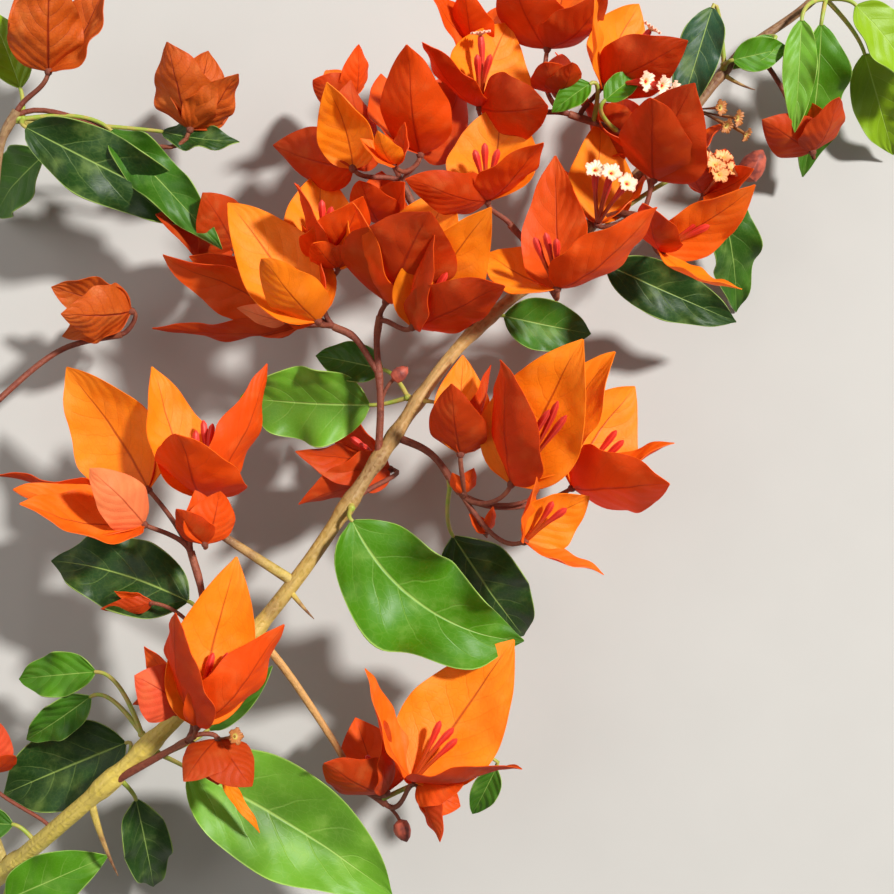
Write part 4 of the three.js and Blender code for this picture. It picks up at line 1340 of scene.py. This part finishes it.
def bark_radius(name, settings):
    """The radius of a limb with its joints, ridges and hollows, as a function of share and angle."""
    line = limb_line(name)
    joints = joints_of(name)

    def radius(share, angle):
        swell = sum(math.exp(-(((share - joint) * line.length / JOINT_REACH) ** 2)) for joint in joints)
        ridge = math.sin(RIDGES * angle + 5 * math.sin(share * 9)) * 0.4
        spot = (math.cos(angle) * 1.7, math.sin(angle) * 1.7, share * line.length * 0.16)
        relief = settings.bark_relief * (ridge + 1.4 * noise.noise(Vector(spot)))
        return limb_radius(name, share) * (1 + settings.joint_swell * min(swell, 1) + relief)

    return radius


def add_spike(piece, line, spike):
    """A thorn or a stub that tapers from inside its limb."""
    path = Line(bezier(line.at(spike.share), spike.bend, spike.tip), 20)
    thinner = spike.foot_radius - spike.tip_radius
    piece.rod(path, lambda share, angle: spike.tip_radius + thinner * (1 - share) ** 0.8, 10, 14)


# The bark's colours along each cane
BARK_STOPS = {
    "main_cane": (
        (0.0, solid_colour(206, 184, 84)), (0.22, solid_colour(196, 172, 70)),
        (0.4, solid_colour(176, 146, 62)), (0.5, solid_colour(140, 100, 50)),
        (0.6, solid_colour(172, 134, 72)), (0.74, solid_colour(118, 74, 42)),
        (1.0, solid_colour(106, 62, 34)),
    ),
    "left_cane": ((0.0, solid_colour(170, 150, 80)), (1.0, solid_colour(128, 92, 60))),
}


class BRANCH_OT_canes(bpy.types.Operator):
    """Build the two canes with their joints, bark and thorns"""

    bl_idname = "branch.canes"
    bl_label = "Canes"

    def execute(self, context):
        settings = context.scene.branch_canes
        for name, stops in BARK_STOPS.items():
            piece = Piece()
            line = limb_line(name)
            bark = cane_material(f"{name}_bark", stops, settings.bark_dark[:], settings.bark_pale[:])
            piece.rod(line, bark_radius(name, settings), 26, int(line.length))
            for spike in SPIKES:
                if spike.limb == name:
                    add_spike(piece, line, spike)
            ready(piece.make(f"{name}_bark", [bark], SHARP_BARK), "cane", name)
        return {"FINISHED"}


class BRANCH_OT_stems(bpy.types.Operator):
    """Build the side stems, the blooms' stalks and the knots in which bracts meet"""

    bl_idname = "branch.stems"
    bl_label = "Stems"

    def execute(self, context):
        settings = context.scene.branch_canes
        piece = Piece()
        names = [name for name in LIMBS if name not in BARK_STOPS]
        for name in names:
            line = limb_line(name)
            slot = 1 if name == "middle_stem" else 0
            piece.rod(line, bark_radius(name, settings), 14, int(line.length * 1.2), slot)
        for name, bloom in BLOOMS.items():
            stalk = bloom_stalk(bloom)
            piece.rod(stalk, lambda share, angle: 0.85 - 0.15 * share, 10, 20)
            piece.ball(bloom.at, BLOOM_KNOT, middle_of(bloom.bracts), KNOT_STRETCH)
            if name in PARTNERS:
                partner = PARTNERS[name]
                way = middle_of(partner.bracts)
                fork = stalk_line(stalk, PARTNER_FORK, partner.at, way)
                piece.rod(fork, lambda share, angle: PARTNER_STALK, 10, 14)
                piece.ball(partner.at, PARTNER_KNOT, way, KNOT_STRETCH)
        for tiny in TINY_BLOOMS:
            way = middle_of(tiny.bracts)
            stalk = stalk_line(limb_line(tiny.limb), tiny.share, tiny.at, way)
            piece.rod(stalk, lambda share, angle: TINY_STALK, 10, 14)
            piece.ball(tiny.at, TINY_KNOT, way, KNOT_STRETCH)
        for bud in BUDS:
            way = aim(bud.heading, 10)
            head = np.array(bud.at) - way * bud.length * 0.4
            stalk = stalk_line(limb_line(bud.limb), bud.share, head, way)
            piece.rod(stalk, lambda share, angle: BUD_STALK, 10, 14)
        dark = solid_colour(66, 28, 18)
        pale = solid_colour(164, 100, 62)
        stem = settings.stem[:]
        tan = solid_colour(196, 148, 84)
        red_stops = ((0.0, stem), (0.7, stem), (1.0, blend(stem, pale, 0.3)))
        tan_stops = ((0.0, tan), (0.55, tan), (0.85, stem))
        barks = [
            cane_material("stem_bark", red_stops, dark, pale),
            cane_material("tan_bark", tan_stops, dark, pale),
        ]
        ready(piece.make("stems", barks, SHARP_BARK), "stem", *names)
        return {"FINISHED"}


LEAF_TONES = ("bright", "green", "dark", "pale", "yellow", "blue")


def knot_of(spray):
    """The point beside the limb from which a spray's leaf stalks leave."""
    core = limb_line(spray.limb).at(spray.share)
    out = unit(sum(unit(np.array(leaf.at) - core) for leaf in spray.leaves))
    return core + out * (limb_radius(spray.limb, spray.share) + GAP + KNOT_RADIUS)


def add_leaf(blades, stalks, leaf, knot, settings, seed, grid=LEAF_GRID):
    """One leaf on its stalk, which leaves a point and comes to the blade from behind."""
    at = np.array(leaf.at, float)
    forward = aim(leaf.heading, leaf.rise)
    face = unit(UP - forward * forward[2])
    face = turned(face, forward, leaf.roll)
    pull = STALK_PULL * np.linalg.norm(at - knot)
    stalk = Line(bezier(knot, at - forward * pull, at), 24)
    stalks.rod(stalk, lambda share, angle: 0.8 - 0.2 * share, 10, 16)
    blade(
        blades, LEAF, at, forward, face, leaf.length, lambda share: LEAF_DROOP * (0.5 - share),
        leaf.width, leaf.sway, leaf.wave, seed, grid, LEAF_TONES.index(leaf.tone),
        settings.thickness / MM, LEAF_LOOK,
    )


class BRANCH_OT_leaves(bpy.types.Operator):
    """Build the leaves and their stalks, one piece for each spray"""

    bl_idname = "branch.leaves"
    bl_label = "Leaves"

    def execute(self, context):
        settings = context.scene.branch_leaves
        canes = context.scene.branch_canes
        materials = [
            leaf_material(f"leaf_{tone}", getattr(settings, tone)[:], settings.vein[:], settings)
            for tone in LEAF_TONES
        ]
        stalks = Piece()
        for number, (name, spray) in enumerate(SPRAYS.items()):
            piece = Piece()
            knot = knot_of(spray)
            core = limb_line(spray.limb).at(spray.share)
            stalks.rod(Line(bezier(core, knot), 4), lambda share, angle: 1.3 - 0.3 * share, 10, 4)
            stalks.ball(knot, 1.2)
            for index, leaf in enumerate(spray.leaves):
                add_leaf(piece, stalks, leaf, knot, settings, LEAF_SEED + number * 5 + index)
            ready(piece.make(f"{name}_blades", materials), "leaf", name)
        small = Piece()
        for number, (limb, share, leaf) in enumerate(SMALL_LEAVES):
            foot = limb_line(limb).at(share)
            add_leaf(small, stalks, leaf, foot, settings, SMALL_LEAF_SEED + number, SMALL_LEAF_GRID)
        ready(small.make("small_leaves", materials), "leaf")
        shoot = skin_material("leaf_stalk", canes.shoot[:], solid_colour(166, 150, 70), 0.45)
        ready(stalks.make("leaf_stalks", [shoot], SHARP_BARK), "leaf")
        return {"FINISHED"}


# The floor reaches this far each way, just under the branch
FLOOR_REACH = 3.0
FLOOR_LEVEL = -0.0002

# The lights point at the branch's middle. Each has its place in metres, its width and its watts
MIDDLE = Vector((0.0, 0.0, 0.045))
Lamp = namedtuple("Lamp", "place width power")
LAMPS = {
    "key": Lamp((1.5, 0.95, 2.1), 0.26, 124.0),
    "fill": Lamp((-1.0, 0.3, 1.1), 1.4, 8.0),
}
SKY_COLOUR = (1.0, 0.97, 0.93, 1.0)
SKY_STRENGTH = 0.23


class BRANCH_OT_stage(bpy.types.Operator):
    """Build the floor, the soft lights and the camera that looks straight down"""

    bl_idname = "branch.stage"
    bl_label = "Stage"

    def execute(self, context):
        settings = context.scene.branch_stage
        scene = context.scene
        mesh = bpy.data.meshes.new("floor")
        ways = ((-1, -1), (1, -1), (1, 1), (-1, 1))
        corners = [(x * FLOOR_REACH, y * FLOOR_REACH, FLOOR_LEVEL) for x, y in ways]
        mesh.from_pydata(corners, [], [(0, 1, 2, 3)])
        nodes = Nodes("floor")
        grain = nodes.noise(nodes.place(), 40.0)
        ground = nodes.mix(settings.floor[:], blend(settings.floor[:], (0, 0, 0, 1), 0.05), grain)
        mesh.materials.append(nodes.surface(ground, 0.85, nodes.bump(grain, 0.05, 0.001)))
        floor = bpy.data.objects.new("floor", mesh)
        scene.collection.objects.link(floor)
        for name, lamp in LAMPS.items():
            light = bpy.data.lights.new(name, "AREA")
            light.shape = "DISK"
            light.size = lamp.width
            light.energy = lamp.power
            holder = bpy.data.objects.new(name, light)
            holder.location = lamp.place
            holder.rotation_euler = (MIDDLE - Vector(lamp.place)).to_track_quat("-Z", "Y").to_euler()
            scene.collection.objects.link(holder)
        world = bpy.data.worlds.new("soft_light")
        world.use_nodes = True
        sky = world.node_tree.nodes["Background"].inputs
        sky["Color"].default_value = SKY_COLOUR
        sky["Strength"].default_value = SKY_STRENGTH
        scene.world = world
        scene.view_settings.view_transform = "Standard"
        camera = bpy.data.cameras.new("camera")
        camera.sensor_width = 36.0
        camera.angle = settings.view
        camera.clip_start = 0.01
        view = bpy.data.objects.new("camera", camera)
        view.location = Vector(shift) + Vector((0.0, 0.0, settings.height))
        scene.collection.objects.link(view)
        scene.camera = view
        return {"FINISHED"}


class BRANCH_PT_panel(bpy.types.Panel):
    """Lists the steps that build the branch"""

    bl_idname = "BRANCH_PT_panel"
    bl_label = "Bougainvillea Branch"
    bl_space_type = "VIEW_3D"
    bl_region_type = "UI"
    bl_category = "Branch"

    def draw(self, context):
        for step in STEPS:
            self.layout.operator(step.bl_idname)
        for group in GROUPS:
            box = self.layout.box()
            settings = getattr(context.scene, group)
            for name in settings.__annotations__:
                box.prop(settings, name)


GROUPS = {
    "branch_bracts": BractSettings,
    "branch_leaves": LeafSettings,
    "branch_canes": CaneSettings,
    "branch_stage": StageSettings,
}
STEPS = (
    BRANCH_OT_stage, BRANCH_OT_canes, BRANCH_OT_stems, BRANCH_OT_bracts, BRANCH_OT_flowers, BRANCH_OT_leaves
)


def register():
    for group, settings in GROUPS.items():
        bpy.utils.register_class(settings)
        setattr(bpy.types.Scene, group, bpy.props.PointerProperty(type=settings))
    for step in STEPS:
        bpy.utils.register_class(step)
    bpy.utils.register_class(BRANCH_PT_panel)


def unregister():
    bpy.utils.unregister_class(BRANCH_PT_panel)
    for step in reversed(STEPS):
        bpy.utils.unregister_class(step)
    for group, settings in GROUPS.items():
        delattr(bpy.types.Scene, group)
        bpy.utils.unregister_class(settings)


def main():
    register()
    bpy.ops.branch.stage()
    bpy.ops.branch.canes()
    bpy.ops.branch.stems()
    bpy.ops.branch.bracts()
    bpy.ops.branch.flowers()
    bpy.ops.branch.leaves()


if __name__ == "__main__":
    main()
